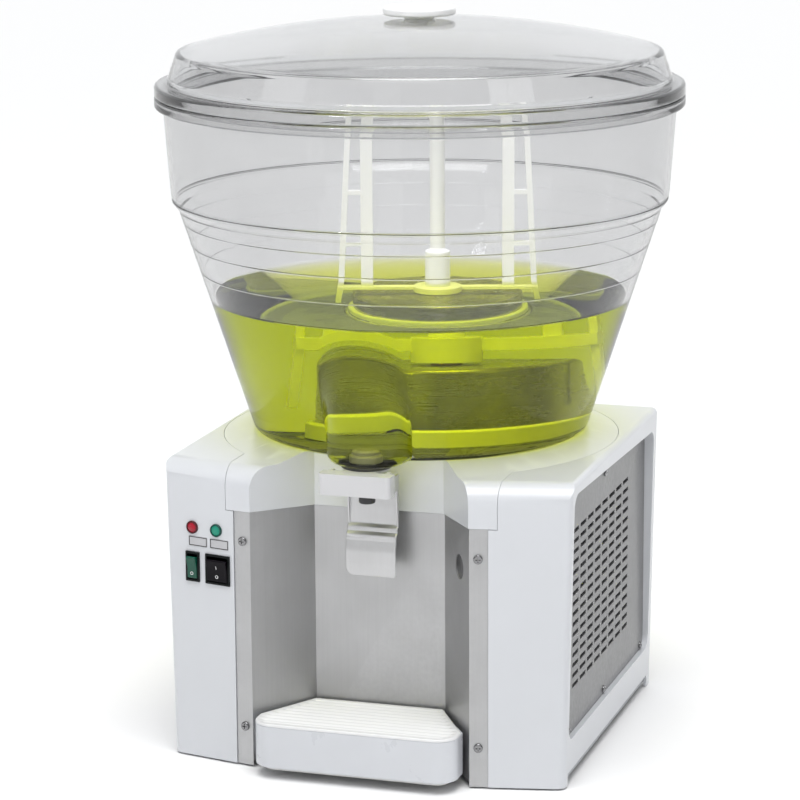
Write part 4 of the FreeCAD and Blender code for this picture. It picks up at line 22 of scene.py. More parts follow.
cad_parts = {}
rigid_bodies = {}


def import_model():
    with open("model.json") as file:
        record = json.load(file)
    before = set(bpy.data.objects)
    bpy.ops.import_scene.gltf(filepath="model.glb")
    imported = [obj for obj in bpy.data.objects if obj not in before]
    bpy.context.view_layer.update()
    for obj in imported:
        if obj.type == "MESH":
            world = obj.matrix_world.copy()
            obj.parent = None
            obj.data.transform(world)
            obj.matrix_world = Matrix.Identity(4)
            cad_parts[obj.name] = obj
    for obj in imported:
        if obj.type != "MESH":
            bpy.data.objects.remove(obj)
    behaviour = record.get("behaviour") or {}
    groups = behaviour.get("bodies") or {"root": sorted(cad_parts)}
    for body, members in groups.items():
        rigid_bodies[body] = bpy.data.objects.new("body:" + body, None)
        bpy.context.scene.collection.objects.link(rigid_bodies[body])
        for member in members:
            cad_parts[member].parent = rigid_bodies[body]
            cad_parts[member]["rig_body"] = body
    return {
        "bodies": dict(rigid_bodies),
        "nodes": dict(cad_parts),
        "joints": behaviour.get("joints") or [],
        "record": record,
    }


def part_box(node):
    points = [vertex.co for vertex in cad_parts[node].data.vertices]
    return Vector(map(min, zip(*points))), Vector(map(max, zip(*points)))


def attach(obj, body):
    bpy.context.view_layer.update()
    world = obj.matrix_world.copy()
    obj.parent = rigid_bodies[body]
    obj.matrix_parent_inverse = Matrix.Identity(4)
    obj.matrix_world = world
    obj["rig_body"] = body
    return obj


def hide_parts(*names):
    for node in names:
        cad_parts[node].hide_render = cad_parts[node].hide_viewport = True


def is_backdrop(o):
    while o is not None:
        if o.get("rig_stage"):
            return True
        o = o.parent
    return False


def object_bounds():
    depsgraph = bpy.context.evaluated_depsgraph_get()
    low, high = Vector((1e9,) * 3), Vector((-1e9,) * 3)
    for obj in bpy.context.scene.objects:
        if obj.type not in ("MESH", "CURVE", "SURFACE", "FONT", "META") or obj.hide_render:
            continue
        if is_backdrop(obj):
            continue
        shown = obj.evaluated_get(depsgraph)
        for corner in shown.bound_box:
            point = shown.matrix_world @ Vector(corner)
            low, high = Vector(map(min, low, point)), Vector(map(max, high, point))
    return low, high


LOG = logging.getLogger("dispenser")
Array = np.ndarray
Colour = tuple[float, float, float]
Point = tuple[float, float, float]
Pairs = Sequence[tuple[float, float]]

# A millimetre in metres, and a metre in millimetres.
MM = 0.001
METRE = 1000.0

# Angles in degrees above which an edge stays sharp.
THIN_CREASE = 30.0
NODE_CREASE = 32.0
WALL_CREASE = 40.0
TURNED_CREASE = 50.0
RIB_CREASE = 60.0

# Distances in metres within which points are one, and the angle in degrees that counts as flat.
WELD = 1e-6
SLIVER = 1e-7
NODE_WELD = 2e-6
FLAT = 0.4

DUST = (0.62, 0.6, 0.56, 1.0)
DUST_DULLING = 0.5
PLASTIC_INDEX = 1.49
JUICE_INDEX = 1.34
WETTED = "wetted"

# A noise pattern lies almost wholly between these two values.
NOISE_LOW = 0.3
NOISE_HIGH = 0.7


class Body(Enum):
    """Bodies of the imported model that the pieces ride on."""

    CABINET = "cabinet"
    BOWL = "bowl_assembly"
    LID = "lid_assembly"
    STIRRER = "stirrer"
    LEVER = "lever"
    PLUNGER = "plunger"
    GREEN_SWITCH = "green_switch"
    BLACK_SWITCH = "black_switch"
    TRAY = "tray"
    GRID = "grid"


class Brush(Enum):
    """Directions of a brushed finish, as the stretch of its pattern along X, Y and Z."""

    UPRIGHT = (2600.0, 2600.0, 22.0)
    LEVEL = (22.0, 22.0, 2600.0)
    ROUND = (900.0, 900.0, 900.0)


class Mark(Enum):
    """Marks on the rockers, with their distance from the rocker's valley, up or down its face."""

    RING = -6.0
    BAR = 3.6


# ---------------------------------------------------------------- node graphs


class Graph:
    """A node tree with short calls that add nodes and feed their sockets."""

    def __init__(self, tree: bpy.types.NodeTree) -> None:
        """Start from an empty tree.

        Args:
            tree: The node tree to fill.
        """
        self.tree = tree
        tree.nodes.clear()

    def add(self, kind: str, inputs: dict | None = None, **settings: object) -> bpy.types.Node:
        """Add a node.

        Args:
            kind: Blender's name of the node type.
            inputs: Socket names or numbers with a value or another node's output.
            **settings: Properties of the node itself.

        Returns:
            The new node.
        """
        node = self.tree.nodes.new(kind)
        for key, value in settings.items():
            setattr(node, key, value)
        self.feed(node, inputs or {})
        return node

    def feed(self, node: bpy.types.Node, inputs: dict) -> None:
        """Set or link the inputs of a node.

        Args:
            node: The node to feed.
            inputs: Socket names or numbers with a value or another node's output.
        """
        for key, value in inputs.items():
            if isinstance(value, bpy.types.NodeSocket):
                self.tree.links.new(value, node.inputs[key])
            else:
                node.inputs[key].default_value = value

    def maths(self, operation: str, first: object, second: object) -> bpy.types.NodeSocket:
        """Combine two values.

        Args:
            operation: Name of the sum, such as MULTIPLY.
            first: A number or an output.
            second: A number or an output.

        Returns:
            The output of the sum.
        """
        node = self.add("ShaderNodeMath", {0: first, 1: second}, operation=operation)
        return node.outputs[0]

    def ranged(
        self, value: object, low: float, high: float, to_low: object, to_high: object
    ) -> bpy.types.NodeSocket:
        """Stretch one range of a value onto another.

        Args:
            value: The value.
            low: Start of its range.
            high: End of its range.
            to_low: Result at the start.
            to_high: Result at the end.

        Returns:
            The output of the stretch.
        """
        inputs = {
            "Value": value, "From Min": low, "From Max": high, "To Min": to_low, "To Max": to_high
        }
        return self.add("ShaderNodeMapRange", inputs).outputs["Result"]

    def blended(self, share: object, first: object, second: object) -> bpy.types.NodeSocket:
        """Blend two colours.

        Args:
            share: Share of the second colour.
            first: First colour.
            second: Second colour.

        Returns:
            The blended colour.
        """
        node = self.add("ShaderNodeMix", data_type="RGBA")
        self.feed(node, {0: share, 6: first, 7: second})
        return node.outputs[2]

    def noise(self, place: object, scale: object, detail: float) -> bpy.types.NodeSocket:
        """Add soft noise.

        Args:
            place: Coordinates.
            scale: Its fineness.
            detail: Octaves.

        Returns:
            Its value.
        """
        inputs = {"Vector": place, "Scale": scale, "Detail": detail}
        return self.add("ShaderNodeTexNoise", inputs).outputs[0]

    def effect(self, group: bpy.types.NodeTree, **inputs: object) -> bpy.types.Node:
        """Place a shared effect.

        Args:
            group: The node group.
            **inputs: Its inputs.

        Returns:
            The group node.
        """
        node = self.add("ShaderNodeGroup", node_tree=group)
        self.feed(node, inputs)
        return node


class Effects:
    """Surface effects that several finishes share, each a node group that is made once."""

    made: dict[str, bpy.types.NodeTree] = {}

    @classmethod
    def group(
        cls, name: str, inputs: dict[str, str], outputs: dict[str, str], fill: Callable
    ) -> bpy.types.NodeTree:
        """Make a node group, or give back the one already made.

        Args:
            name: Name of the group.
            inputs: Names and kinds of its inputs.
            outputs: Names and kinds of its outputs.
            fill: Function that adds its nodes and returns its outputs by name.

        Returns:
            The node group.
        """
        if name in cls.made:
            return cls.made[name]
        tree = bpy.data.node_groups.new(name, "ShaderNodeTree")
        for direction, sockets in (("INPUT", inputs), ("OUTPUT", outputs)):
            for socket, kind in sockets.items():
                tree.interface.new_socket(
                    socket, in_out=direction, socket_type=f"NodeSocket{kind}"
                )
        graph = Graph(tree)
        source = graph.add("NodeGroupInput").outputs
        graph.feed(graph.add("NodeGroupOutput"), fill(graph, source))
        cls.made[name] = tree
        return tree

    @classmethod
    def tone_drift(cls) -> bpy.types.NodeTree:
        """Slow drift of a colour's brightness: colour times 1 plus or minus the amount.

        Returns:
            The node group.
        """

        def fill(graph: Graph, source: bpy.types.NodeOutputs) -> dict:
            """Add the nodes of the effect.

            Args:
                graph: The group's graph.
                source: The group's inputs.

            Returns:
                The group's outputs by name.
            """
            scale = graph.maths("DIVIDE", METRE, source["Size"])
            value = graph.noise(source["Place"], scale, 3.0)
            least = graph.maths("SUBTRACT", 1.0, source["Amount"])
            most = graph.maths("ADD", 1.0, source["Amount"])
            factor = graph.ranged(value, NOISE_LOW, NOISE_HIGH, least, most)
            inputs = {0: source["Colour"], "Scale": factor}
            scaled = graph.add("ShaderNodeVectorMath", inputs, operation="SCALE")
            return {"Colour": scaled.outputs[0]}

        sockets = {"Place": "Vector", "Colour": "Color", "Size": "Float", "Amount": "Float"}
        return cls.group("tone_drift", sockets, {"Colour": "Color"}, fill)

    @classmethod
    def gloss_drift(cls) -> bpy.types.NodeTree:
        """Uneven gloss: the roughness plus a slow and a fine noise about nought.

        Returns:
            The node group.
        """

        def fill(graph: Graph, source: bpy.types.NodeOutputs) -> dict:
            """Add the nodes of the effect.

            Args:
                graph: The group's graph.
                source: The group's inputs.

            Returns:
                The group's outputs by name.
            """
            scale = graph.maths("DIVIDE", METRE, source["Size"])
            slow = graph.noise(source["Place"], scale, 2.0)
            fine = graph.noise(source["Place"], graph.maths("MULTIPLY", scale, 7.0), 3.0)
            both = graph.maths(
                "ADD", graph.maths("MULTIPLY", slow, 0.7), graph.maths("MULTIPLY", fine, 0.3)
            )
            shift = graph.maths("MULTIPLY", graph.maths("SUBTRACT", both, 0.5), source["Amount"])
            total = graph.maths("ADD", source["Roughness"], graph.maths("MULTIPLY", shift, 4.0))
            return {"Roughness": graph.ranged(total, 0.02, 1.0, 0.02, 1.0)}

        sockets = {"Place": "Vector", "Roughness": "Float", "Size": "Float", "Amount": "Float"}
        return cls.group("gloss_drift", sockets, {"Roughness": "Float"}, fill)

    @classmethod
    def moulded_grain(cls) -> bpy.types.NodeTree:
        """Fine skin of a moulding: small noise over a slow swell of the surface.

        Returns:
            The node group.
        """

        def fill(graph: Graph, source: bpy.types.NodeOutputs) -> dict:
            """Add the nodes of the effect.

            Args:
                graph: The group's graph.
                source: The group's inputs.

            Returns:
                The group's outputs by name.
            """
            scale = graph.maths("DIVIDE", METRE, source["Size"])
            fine = graph.noise(source["Place"], scale, 2.0)
            swell = graph.noise(source["Place"], graph.maths("MULTIPLY", scale, 0.04), 1.0)
            height = graph.maths("ADD", graph.maths("MULTIPLY", fine, 0.25), swell)
            return {"Height": height}

        return cls.group(
            "moulded_grain", {"Place": "Vector", "Size": "Float"}, {"Height": "Float"}, fill
        )

    @classmethod
    def brushed_grain(cls) -> bpy.types.NodeTree:
        """Streaks of a brushed sheet: noise on coordinates that are stretched along the brush.

        Returns:
            The node group.
        """

        def fill(graph: Graph, source: bpy.types.NodeOutputs) -> dict:
            """Add the nodes of the effect.

            Args:
                graph: The group's graph.
                source: The group's inputs.

            Returns:
                The group's outputs by name.
            """
            inputs = {0: source["Place"], 1: source["Stretch"]}
            place = graph.add("ShaderNodeVectorMath", inputs, operation="MULTIPLY").outputs[0]
            fine = graph.noise(place, 1.0, 3.0)
            broad = graph.noise(place, 0.11, 2.0)
            streak = graph.maths(
                "ADD", graph.maths("MULTIPLY", fine, 0.6), graph.maths("MULTIPLY", broad, 0.4)
            )
            return {"Streak": streak}

        return cls.group(
            "brushed_grain", {"Place": "Vector", "Stretch": "Vector"}, {"Streak": "Float"}, fill
        )

    @classmethod
    def edge_wear(cls) -> bpy.types.NodeTree:
        """Rubbed edges: the mask is the pointiness of the surface, broken up by noise.

        Returns:
            The node group.
        """

        def fill(graph: Graph, source: bpy.types.NodeOutputs) -> dict:
            """Add the nodes of the effect.

            Args:
                graph: The group's graph.
                source: The group's inputs.

            Returns:
                The group's outputs by name.
            """
            pointed = graph.add("ShaderNodeNewGeometry").outputs["Pointiness"]
            edge = graph.ranged(pointed, 0.52, 0.62, 0.0, 1.0)
            cloud = graph.noise(source["Place"], 220.0, 4.0)
            patches = graph.ranged(cloud, 0.35, 0.65, 0.2, 1.0)
            mask = graph.maths(
                "MULTIPLY", graph.maths("MULTIPLY", edge, patches), source["Amount"]
            )
            return {"Colour": graph.blended(mask, source["Colour"], source["Worn"]), "Mask": mask}

        sockets = {"Place": "Vector", "Colour": "Color", "Worn": "Color", "Amount": "Float"}
        return cls.group("edge_wear", sockets, {"Colour": "Color", "Mask": "Float"}, fill)

    @classmethod
    def settled_dust(cls) -> bpy.types.NodeTree:
        """Dust on what faces up: the mask is the upward share of the normal times noise.

        Returns:
            The node group.
        """

        def fill(graph: Graph, source: bpy.types.NodeOutputs) -> dict:
            """Add the nodes of the effect.

            Args:
                graph: The group's graph.
                source: The group's inputs.

            Returns:
                The group's outputs by name.
            """
            normal = graph.add("ShaderNodeNewGeometry").outputs["Normal"]
            split = graph.add("ShaderNodeSeparateXYZ", {0: normal}).outputs["Z"]
            upward = graph.ranged(split, 0.35, 1.0, 0.0, 1.0)
            cloud = graph.noise(source["Place"], 45.0, 5.0)
            patches = graph.ranged(cloud, NOISE_LOW, NOISE_HIGH, 0.1, 1.0)
            mask = graph.maths(
                "MULTIPLY", graph.maths("MULTIPLY", upward, patches), source["Amount"]
            )
            return {"Colour": graph.blended(mask, source["Colour"], source["Dust"]), "Mask": mask}

        sockets = {"Place": "Vector", "Colour": "Color", "Dust": "Color", "Amount": "Float"}
        return cls.group("settled_dust", sockets, {"Colour": "Color", "Mask": "Float"}, fill)


# ------------------------------------------------------------------- finishes


@dataclass(frozen=True)
class Finish:
    """A finish that makes its own material once."""

    name: str
    colour: Colour = (0.8, 0.8, 0.8)
    roughness: float = 0.4

    def material(self) -> bpy.types.Material:
        """Give the material, and make it the first time.

        Returns:
            The material.
        """
        found = bpy.data.materials.get(self.name)
        if found is not None:
            return found
        made = bpy.data.materials.new(self.name)
        made.use_nodes = True
        graph = Graph(made.node_tree)
        place = graph.add("ShaderNodeTexCoord").outputs["Object"]
        self.fill(graph, place)
        made.diffuse_color = (*self.colour, 1.0)
        return made

    def fill(self, graph: Graph, place: bpy.types.NodeSocket) -> None:
        """Add the nodes of the finish.

        Args:
            graph: The material's graph.
            place: Object coordinates.
        """
        raise NotImplementedError

    def solid(self) -> tuple[float, float, float, float]:
        """Return the colour with its alpha."""
        return (*self.colour, 1.0)


@dataclass(frozen=True)
class Moulding(Finish):
    """Moulded or painted plastic: grain, a slow drift of tone and gloss, worn edges and dust.

    Sizes of grain, depth and drift are in millimetres.
    """

    grain: float = 1.2
    depth: float = 0.02
    drift: float = 0.02
    wear: float = 0.15
    worn: Colour = (0.9, 0.9, 0.9)
    dust: float = 0.03
    coat: float = 0.25
    sheen: float = 0.0
    uneven: float = 0.03
    shine: float = 0.5
    tone_size: float = 90.0
    gloss_size: float = 35.0
    relief: float = 0.35
    coat_roughness: float = 0.12

    def fill(self, graph: Graph, place: bpy.types.NodeSocket) -> None:
        """Add the nodes of the moulding.

        Args:
            graph: The material's graph.
            place: Object coordinates.
        """
        tone = graph.effect(
            Effects.tone_drift(),
            Place=place,
            Colour=self.solid(),
            Size=self.tone_size,
            Amount=self.drift,
        )
        worn = graph.effect(
            Effects.edge_wear(),
            Place=place,
            Colour=tone.outputs[0],
            Worn=(*self.worn, 1.0),
            Amount=self.wear,
        )
        dusty = graph.effect(
            Effects.settled_dust(),
            Place=place,
            Colour=worn.outputs["Colour"],
            Dust=DUST,
            Amount=self.dust,
        )
        gloss = graph.effect(
            Effects.gloss_drift(),
            Place=place,
            Roughness=self.roughness,
            Size=self.gloss_size,
            Amount=self.uneven,
        )
        rough = graph.maths(
            "ADD", gloss.outputs[0], graph.maths("MULTIPLY", dusty.outputs["Mask"], DUST_DULLING)
        )
        grain = graph.effect(Effects.moulded_grain(), Place=place, Size=self.grain)
        inputs = {
            "Height": grain.outputs[0],
            "Strength": self.relief,
            "Distance": self.depth * MM,
        }
        bump = graph.add("ShaderNodeBump", inputs)
        shader = graph.add(
            "ShaderNodeBsdfPrincipled",
            {
                "Base Color": dusty.outputs["Colour"],
                "Roughness": rough,
                "Normal": bump.outputs[0],
                "Specular IOR Level": self.shine,
                "Coat Weight": self.coat,
                "Coat Roughness": self.coat_roughness,
                "Sheen Weight": self.sheen,
            },
        )
        graph.add("ShaderNodeOutputMaterial", {"Surface": shader.outputs[0]})


@dataclass(frozen=True)
class Metal(Finish):
    """Sheet, tube or turned metal with a brush, tarnish in patches and bright edges."""

    brush: Brush = Brush.ROUND
    streak: float = 0.1
    depth: float = 0.01
    tarnish: Colour = (0.3, 0.29, 0.28)
    stain: float = 0.06
    wear: float = 0.3
    drift: float = 0.04
    tone_size: float = 70.0
    uneven: float = 0.06
    gloss_size: float = 30.0
    stain_scale: float = 26.0
    brightening: float = 1.25
    brush_gloss: float = 0.05
    relief: float = 0.4

    def fill(self, graph: Graph, place: bpy.types.NodeSocket) -> None:
        """Add the nodes of the metal.

        Args:
            graph: The material's graph.
            place: Object coordinates.
        """
        streaks = graph.effect(
            Effects.brushed_grain(), Place=place, Stretch=self.brush.value
        ).outputs[0]
        tone = graph.effect(
            Effects.tone_drift(),
            Place=place,
            Colour=self.solid(),
            Size=self.tone_size,
            Amount=self.drift,
        )
        dark, light = 1.0 - self.streak, 1.0 + self.streak
        factor = graph.ranged(streaks, NOISE_LOW, NOISE_HIGH, dark, light)
        lined = graph.add(
            "ShaderNodeVectorMath", {0: tone.outputs[0], "Scale": factor}, operation="SCALE"
        ).outputs[0]
        cloud = graph.noise(place, self.stain_scale, 5.0)
        patches = graph.ranged(cloud, 0.5, 0.75, 0.0, self.stain)
        stained = graph.blended(patches, lined, (*self.tarnish, 1.0))
        bright = tuple(min(1.0, self.brightening * part) for part in self.colour)
        worn = graph.effect(
            Effects.edge_wear(), Place=place, Colour=stained, Worn=(*bright, 1.0), Amount=self.wear
        )
        gloss = graph.effect(
            Effects.gloss_drift(),
            Place=place,
            Roughness=self.roughness,
            Size=self.gloss_size,
            Amount=self.uneven,
        )
        least, most = -self.brush_gloss, self.brush_gloss
        shift = graph.ranged(streaks, NOISE_LOW, NOISE_HIGH, least, most)
        rough = graph.maths("ADD", gloss.outputs[0], shift)
        inputs = {"Height": streaks, "Strength": self.relief, "Distance": self.depth * MM}
        bump = graph.add("ShaderNodeBump", inputs)
        shader = graph.add(
            "ShaderNodeBsdfPrincipled",
            {
                "Base Color": worn.outputs["Colour"],
                "Roughness": rough,
                "Normal": bump.outputs[0],
                "Metallic": 1.0,
            },
        )
        graph.add("ShaderNodeOutputMaterial", {"Surface": shader.outputs[0]})


@dataclass(frozen=True)
class Clear(Finish):
    """Clear plastic or liquid that bends light and lets it through to what is inside.

    Where plastic and liquid touch, light bends only by the ratio of their indices: the plastic's
    wetted faces do that, and the liquid's own faces against it let light straight through.

    Density and absorbed tint what is seen through it, mirror is the strength of its reflections,
    calm is the share of an outer face that has none, shaded is the light that passes into its
    shadow, and soaked is the index of its wetted faces: 1 lets light straight through, and 0 is
    for a piece that has no such faces.
    """

    index: float = PLASTIC_INDEX
    swell: float = 0.02
    density: float = 0.0
    absorbed: Colour = (1.0, 1.0, 1.0)
    scuff: float = 0.02
    mirror: float = 1.0
    shaded: float = 1.0
    calm: float = 0.0
    soaked: float = 0.0
    drift: float = 0.01
    tone_size: float = 120.0
    gloss_size: float = 60.0
    wave_scale: float = 14.0
    relief: float = 0.5

    def fill(self, graph: Graph, place: bpy.types.NodeSocket) -> None:
        """Add the nodes of the clear stuff.

        Args:
            graph: The material's graph.
            place: Object coordinates.
        """
        gloss = graph.effect(
            Effects.gloss_drift(),
            Place=place,
            Roughness=self.roughness,
            Size=self.gloss_size,
            Amount=self.scuff,
        )
        tone = graph.effect(
            Effects.tone_drift(),
            Place=place,
            Colour=self.solid(),
            Size=self.tone_size,
            Amount=self.drift,
        )
        wave = graph.noise(place, self.wave_scale, 1.0)
        inputs = {"Height": wave, "Strength": self.relief, "Distance": self.swell * MM}
        bump = graph.add("ShaderNodeBump", inputs)
        shader = graph.add(
            "ShaderNodeBsdfPrincipled",
            {
                "Base Color": tone.outputs[0],
                "Roughness": gloss.outputs[0],
                "Normal": bump.outputs[0],
                "IOR": self.index,
                "Specular Tint": (self.mirror, self.mirror, self.mirror, 1.0),
                "Transmission Weight": 1.0,
            },
        )
        inputs = {
            "Color": tone.outputs[0],
            "Roughness": gloss.outputs[0],
            "Normal": bump.outputs[0],
            "IOR": self.index,
        }
        bent = graph.add("ShaderNodeBsdfRefraction", inputs)
        inside = graph.add("ShaderNodeNewGeometry").outputs["Backfacing"]
        calm = graph.ranged(inside, 0.0, 1.0, self.calm, 0.0)
        body = graph.add(
            "ShaderNodeMixShader", {0: calm, 1: shader.outputs[0], 2: bent.outputs[0]}
        )
        if self.soaked > 0.0:
            mask = graph.add("ShaderNodeAttribute", attribute_name=WETTED).outputs["Fac"]
            if self.soaked > 1.0:
                inputs = {"Color": tone.outputs[0], "Roughness": 0.0, "IOR": self.soaked}
                wet = graph.add("ShaderNodeBsdfRefraction", inputs)
            else:
                wet = graph.add("ShaderNodeBsdfTransparent")
            body = graph.add(
                "ShaderNodeMixShader", {0: mask, 1: body.outputs[0], 2: wet.outputs[0]}
            )
        passed = graph.add(
            "ShaderNodeBsdfTransparent", {"Color": (self.shaded, self.shaded, self.shaded, 1.0)}
        )
        shadow = graph.add("ShaderNodeLightPath").outputs["Is Shadow Ray"]
        mix = graph.add(
            "ShaderNodeMixShader", {0: shadow, 1: body.outputs[0], 2: passed.outputs[0]}
        )
        output = graph.add("ShaderNodeOutputMaterial", {"Surface": mix.outputs[0]})
        if self.density > 0.0:
            inputs = {"Color": (*self.absorbed, 1.0), "Density": self.density}
            depth = graph.add("ShaderNodeVolumeAbsorption", inputs)
            graph.feed(output, {"Volume": depth.outputs[0]})


WHITE = Moulding(
    "white_moulding",
    (0.65, 0.665, 0.695),
    0.32,
    drift=0.01,
    wear=0.0,
    dust=0.0,
    coat=0.3,
    uneven=0.012,
)
KNOB_WHITE = Moulding("knob_moulding", (0.93, 0.935, 0.94), 0.28, wear=0.0, coat=0.4)
STIRRER_WHITE = Moulding("stirrer_moulding", (0.94, 0.94, 0.94), 0.35, wear=0.0, dust=0.0)
TRAY_WHITE = Moulding(
    "tray_moulding", (0.64, 0.655, 0.69), 0.28, wear=0.0, dust=0.0, coat=0.5, uneven=0.012
)
# The grid is the tray's white plastic. This lighter copy is painted light: it stands in for the
# light that the recess keeps from the grid's top.
GRID_WHITE_PAINTED_LIGHT = Moulding(
    "grid_moulding_painted_light", (0.80, 0.80, 0.805), 0.3, wear=0.0, dust=0.0, coat=0.4, uneven=0.012
)
# Much lighter than the tongue's own grey. This is painted light: it stands in for the light that
# the shade under the tray takes away.
TONGUE_GREY_PAINTED_LIGHT = Moulding("tongue_moulding_painted_light", (0.7, 0.7, 0.69), 0.45, wear=0.0)
VENT_GREY = Moulding(
    "vent_paint", (0.15, 0.15, 0.154), 0.42, grain=0.8, depth=0.03, worn=(0.6, 0.6, 0.6)
)
PLATE_GREY = Moulding("plate_paint", (0.52, 0.52, 0.54), 0.4, grain=0.5)
PLATE_LINE = Moulding(
    "plate_border", (0.02, 0.02, 0.022), 0.5, grain=0.4, wear=0.0, dust=0.0, shine=0.2
)
# A dark grey cup behind the finger hole keeps what is seen through the hole dark grey.
CUP_GREY = Moulding("hole_backing_dark_grey", (0.17, 0.17, 0.172), 0.5, grain=0.6, wear=0.0)
SWITCH_BLACK = Moulding(
    "switch_frame_plastic", (0.004, 0.006, 0.006), 0.3, wear=0.0, dust=0.0, coat=0.0, shine=0.15
)
ROCKER_BLACK = Moulding(
    "black_rocker_plastic", (0.004, 0.003, 0.005), 0.24, wear=0.0, dust=0.0, coat=0.0, shine=0.14
)
ROCKER_GREEN = Moulding(
    "green_rocker_plastic", (0.003, 0.075, 0.045), 0.2, wear=0.0, dust=0.0, coat=0.35, shine=0.3
)
MARK_WHITE = Moulding("switch_mark_paint", (0.75, 0.76, 0.76), 0.5, grain=0.4, wear=0.0)
LENS_RED = Moulding(
    "red_lens_plastic", (0.38, 0.006, 0.022), 0.2, wear=0.0, dust=0.0, coat=0.3, shine=0.3
)
LENS_GREEN = Moulding(
    "green_lens_plastic", (0.012, 0.27, 0.18), 0.2, wear=0.0, dust=0.0, coat=0.3, shine=0.3
)
BEZEL_RED = Moulding(
    "red_bezel_plastic", (0.07, 0.004, 0.008), 0.25, wear=0.0, dust=0.0, coat=0.1, shine=0.3
)
BEZEL_GREEN = Moulding(
    "green_bezel_plastic", (0.004, 0.06, 0.045), 0.25, wear=0.0, dust=0.0, coat=0.1, shine=0.3
)
TAP_SILVER = Moulding(
    "tap_silver_paint", (0.60, 0.60, 0.61), 0.32, grain=0.5, depth=0.01, worn=(0.7, 0.7, 0.7)
)
VALVE_GREY = Moulding("valve_moulding", (0.3, 0.3, 0.28), 0.3, grain=0.5, wear=0.0, dust=0.0)
TAP_BLACK = Moulding("tap_black_plastic", (0.02, 0.02, 0.022), 0.35, worn=(0.1, 0.1, 0.1))
SEAL = Moulding(
    "seal_rubber_skin", (0.02, 0.02, 0.02), 0.6, grain=0.8, depth=0.05, coat=0.0, sheen=0.2
)
SEAL_WHITE = Moulding(
    "seal_silicone_skin", (0.93, 0.93, 0.9), 0.5, grain=0.8, depth=0.04, wear=0.0, coat=0.0
)
FOOT = Moulding(
    "foot_rubber_skin", (0.018, 0.018, 0.018), 0.7, grain=1.0, depth=0.06, coat=0.0, sheen=0.2
)
FOAM = Moulding("foam_skin", (0.62, 0.52, 0.3), 0.85, grain=3.0, depth=0.4, coat=0.0, sheen=0.3)
BOX_BLACK = Moulding("box_plastic", (0.02, 0.02, 0.022), 0.45, worn=(0.1, 0.1, 0.1))
FAN_GREY = Moulding("fan_plastic", (0.08, 0.08, 0.085), 0.45, worn=(0.2, 0.2, 0.2))
COMPRESSOR = Moulding(
    "compressor_paint", (0.012, 0.012, 0.013), 0.3, grain=2.0, dust=0.12, worn=(0.2, 0.19, 0.18)
)
STEEL = Metal(
    "recess_steel", (0.50, 0.50, 0.505), 0.42, brush=Brush.UPRIGHT, streak=0.05, stain=0.03
)
LEVER_STEEL = Metal(
    "lever_steel_satin", (0.60, 0.60, 0.605), 0.44, brush=Brush.UPRIGHT, streak=0.04, stain=0.02
)
DRUM_STEEL = Metal(
    "drum_steel_polish", (0.42, 0.41, 0.40), 0.25, brush=Brush.LEVEL, streak=0.05, stain=0.02
)
SHAFT_STEEL = Metal("shaft_steel_ground", (0.6, 0.6, 0.61), 0.25, brush=Brush.LEVEL)
CHROME = Metal("screw_chrome_plate", (0.26, 0.26, 0.265), 0.12, streak=0.03, depth=0.004)
ZINC = Metal(
    "zinc_sheet", (0.42, 0.43, 0.45), 0.45, streak=0.12, stain=0.2, tarnish=(0.26, 0.27, 0.29)
)
COPPER = Metal("copper_tube", (0.72, 0.36, 0.22), 0.3, stain=0.4, tarnish=(0.3, 0.13, 0.08))
BRASS = Metal(
    "bush_brass_turned",
    (0.66, 0.5, 0.22),
    0.28,
    brush=Brush.LEVEL,
    stain=0.15,
    tarnish=(0.3, 0.2, 0.1),
)
FIN = Metal("fin_aluminium_sheet", (0.62, 0.63, 0.64), 0.4, streak=0.15, stain=0.15)
MOTOR = Metal("motor_casing", (0.3, 0.31, 0.32), 0.45, streak=0.1, stain=0.15)
CLEAR_BOWL = Clear(
    "clear_bowl_plastic",
    (0.90, 0.901, 0.905),
    0.02,
    density=22.0,
    absorbed=(0.02, 0.02, 0.02),
    scuff=0.005,
    shaded=0.99,
    calm=0.3,
    soaked=PLASTIC_INDEX / JUICE_INDEX,
)
CLEAR_LID = Clear(
    "clear_lid_plastic",
    (0.90, 0.901, 0.905),
    0.02,
    swell=0.04,
    density=20.0,
    absorbed=(0.02, 0.02, 0.02),
    scuff=0.005,
    shaded=0.99,
)
JUICE = Clear(
    "lime_juice",
    (1.0, 1.0, 1.0),
    0.02,
    index=JUICE_INDEX,
    swell=0.0,
    density=24.0,
    absorbed=(0.955, 0.972, 0.0),
    scuff=0.0,
    mirror=0.15,
    calm=0.7,
    soaked=1.0,
)

BY_SLOT: dict[str, Finish] = {
    "shell_white": WHITE,
    "panel_steel": STEEL,
    "vent_grey": VENT_GREY,
    "screw_chrome": CHROME,
    "switch_black": SWITCH_BLACK,
    "rocker_green": ROCKER_GREEN,
    "rocker_black": ROCKER_BLACK,
    "knob_white": KNOB_WHITE,
    "drum_steel": DRUM_STEEL,
    "copper": COPPER,
    "foam": FOAM,
    "seal_rubber": SEAL,
    "seal_white": SEAL_WHITE,
    "bush_brass": BRASS,
    "shaft_steel": SHAFT_STEEL,
    "stirrer_white": STIRRER_WHITE,
    "tap_grey": TAP_SILVER,
    "tap_black": TAP_BLACK,
    "tray_white": TRAY_WHITE,
    "tongue_grey": TONGUE_GREY_PAINTED_LIGHT,
    "sheet_zinc": ZINC,
    "foot_rubber": FOOT,
    "compressor_black": COMPRESSOR,
    "fin_aluminium": FIN,
    "fan_grey": FAN_GREY,
    "motor_grey": MOTOR,
    "box_black": BOX_BLACK,
}


# --------------------------------------------------------------- mesh tools


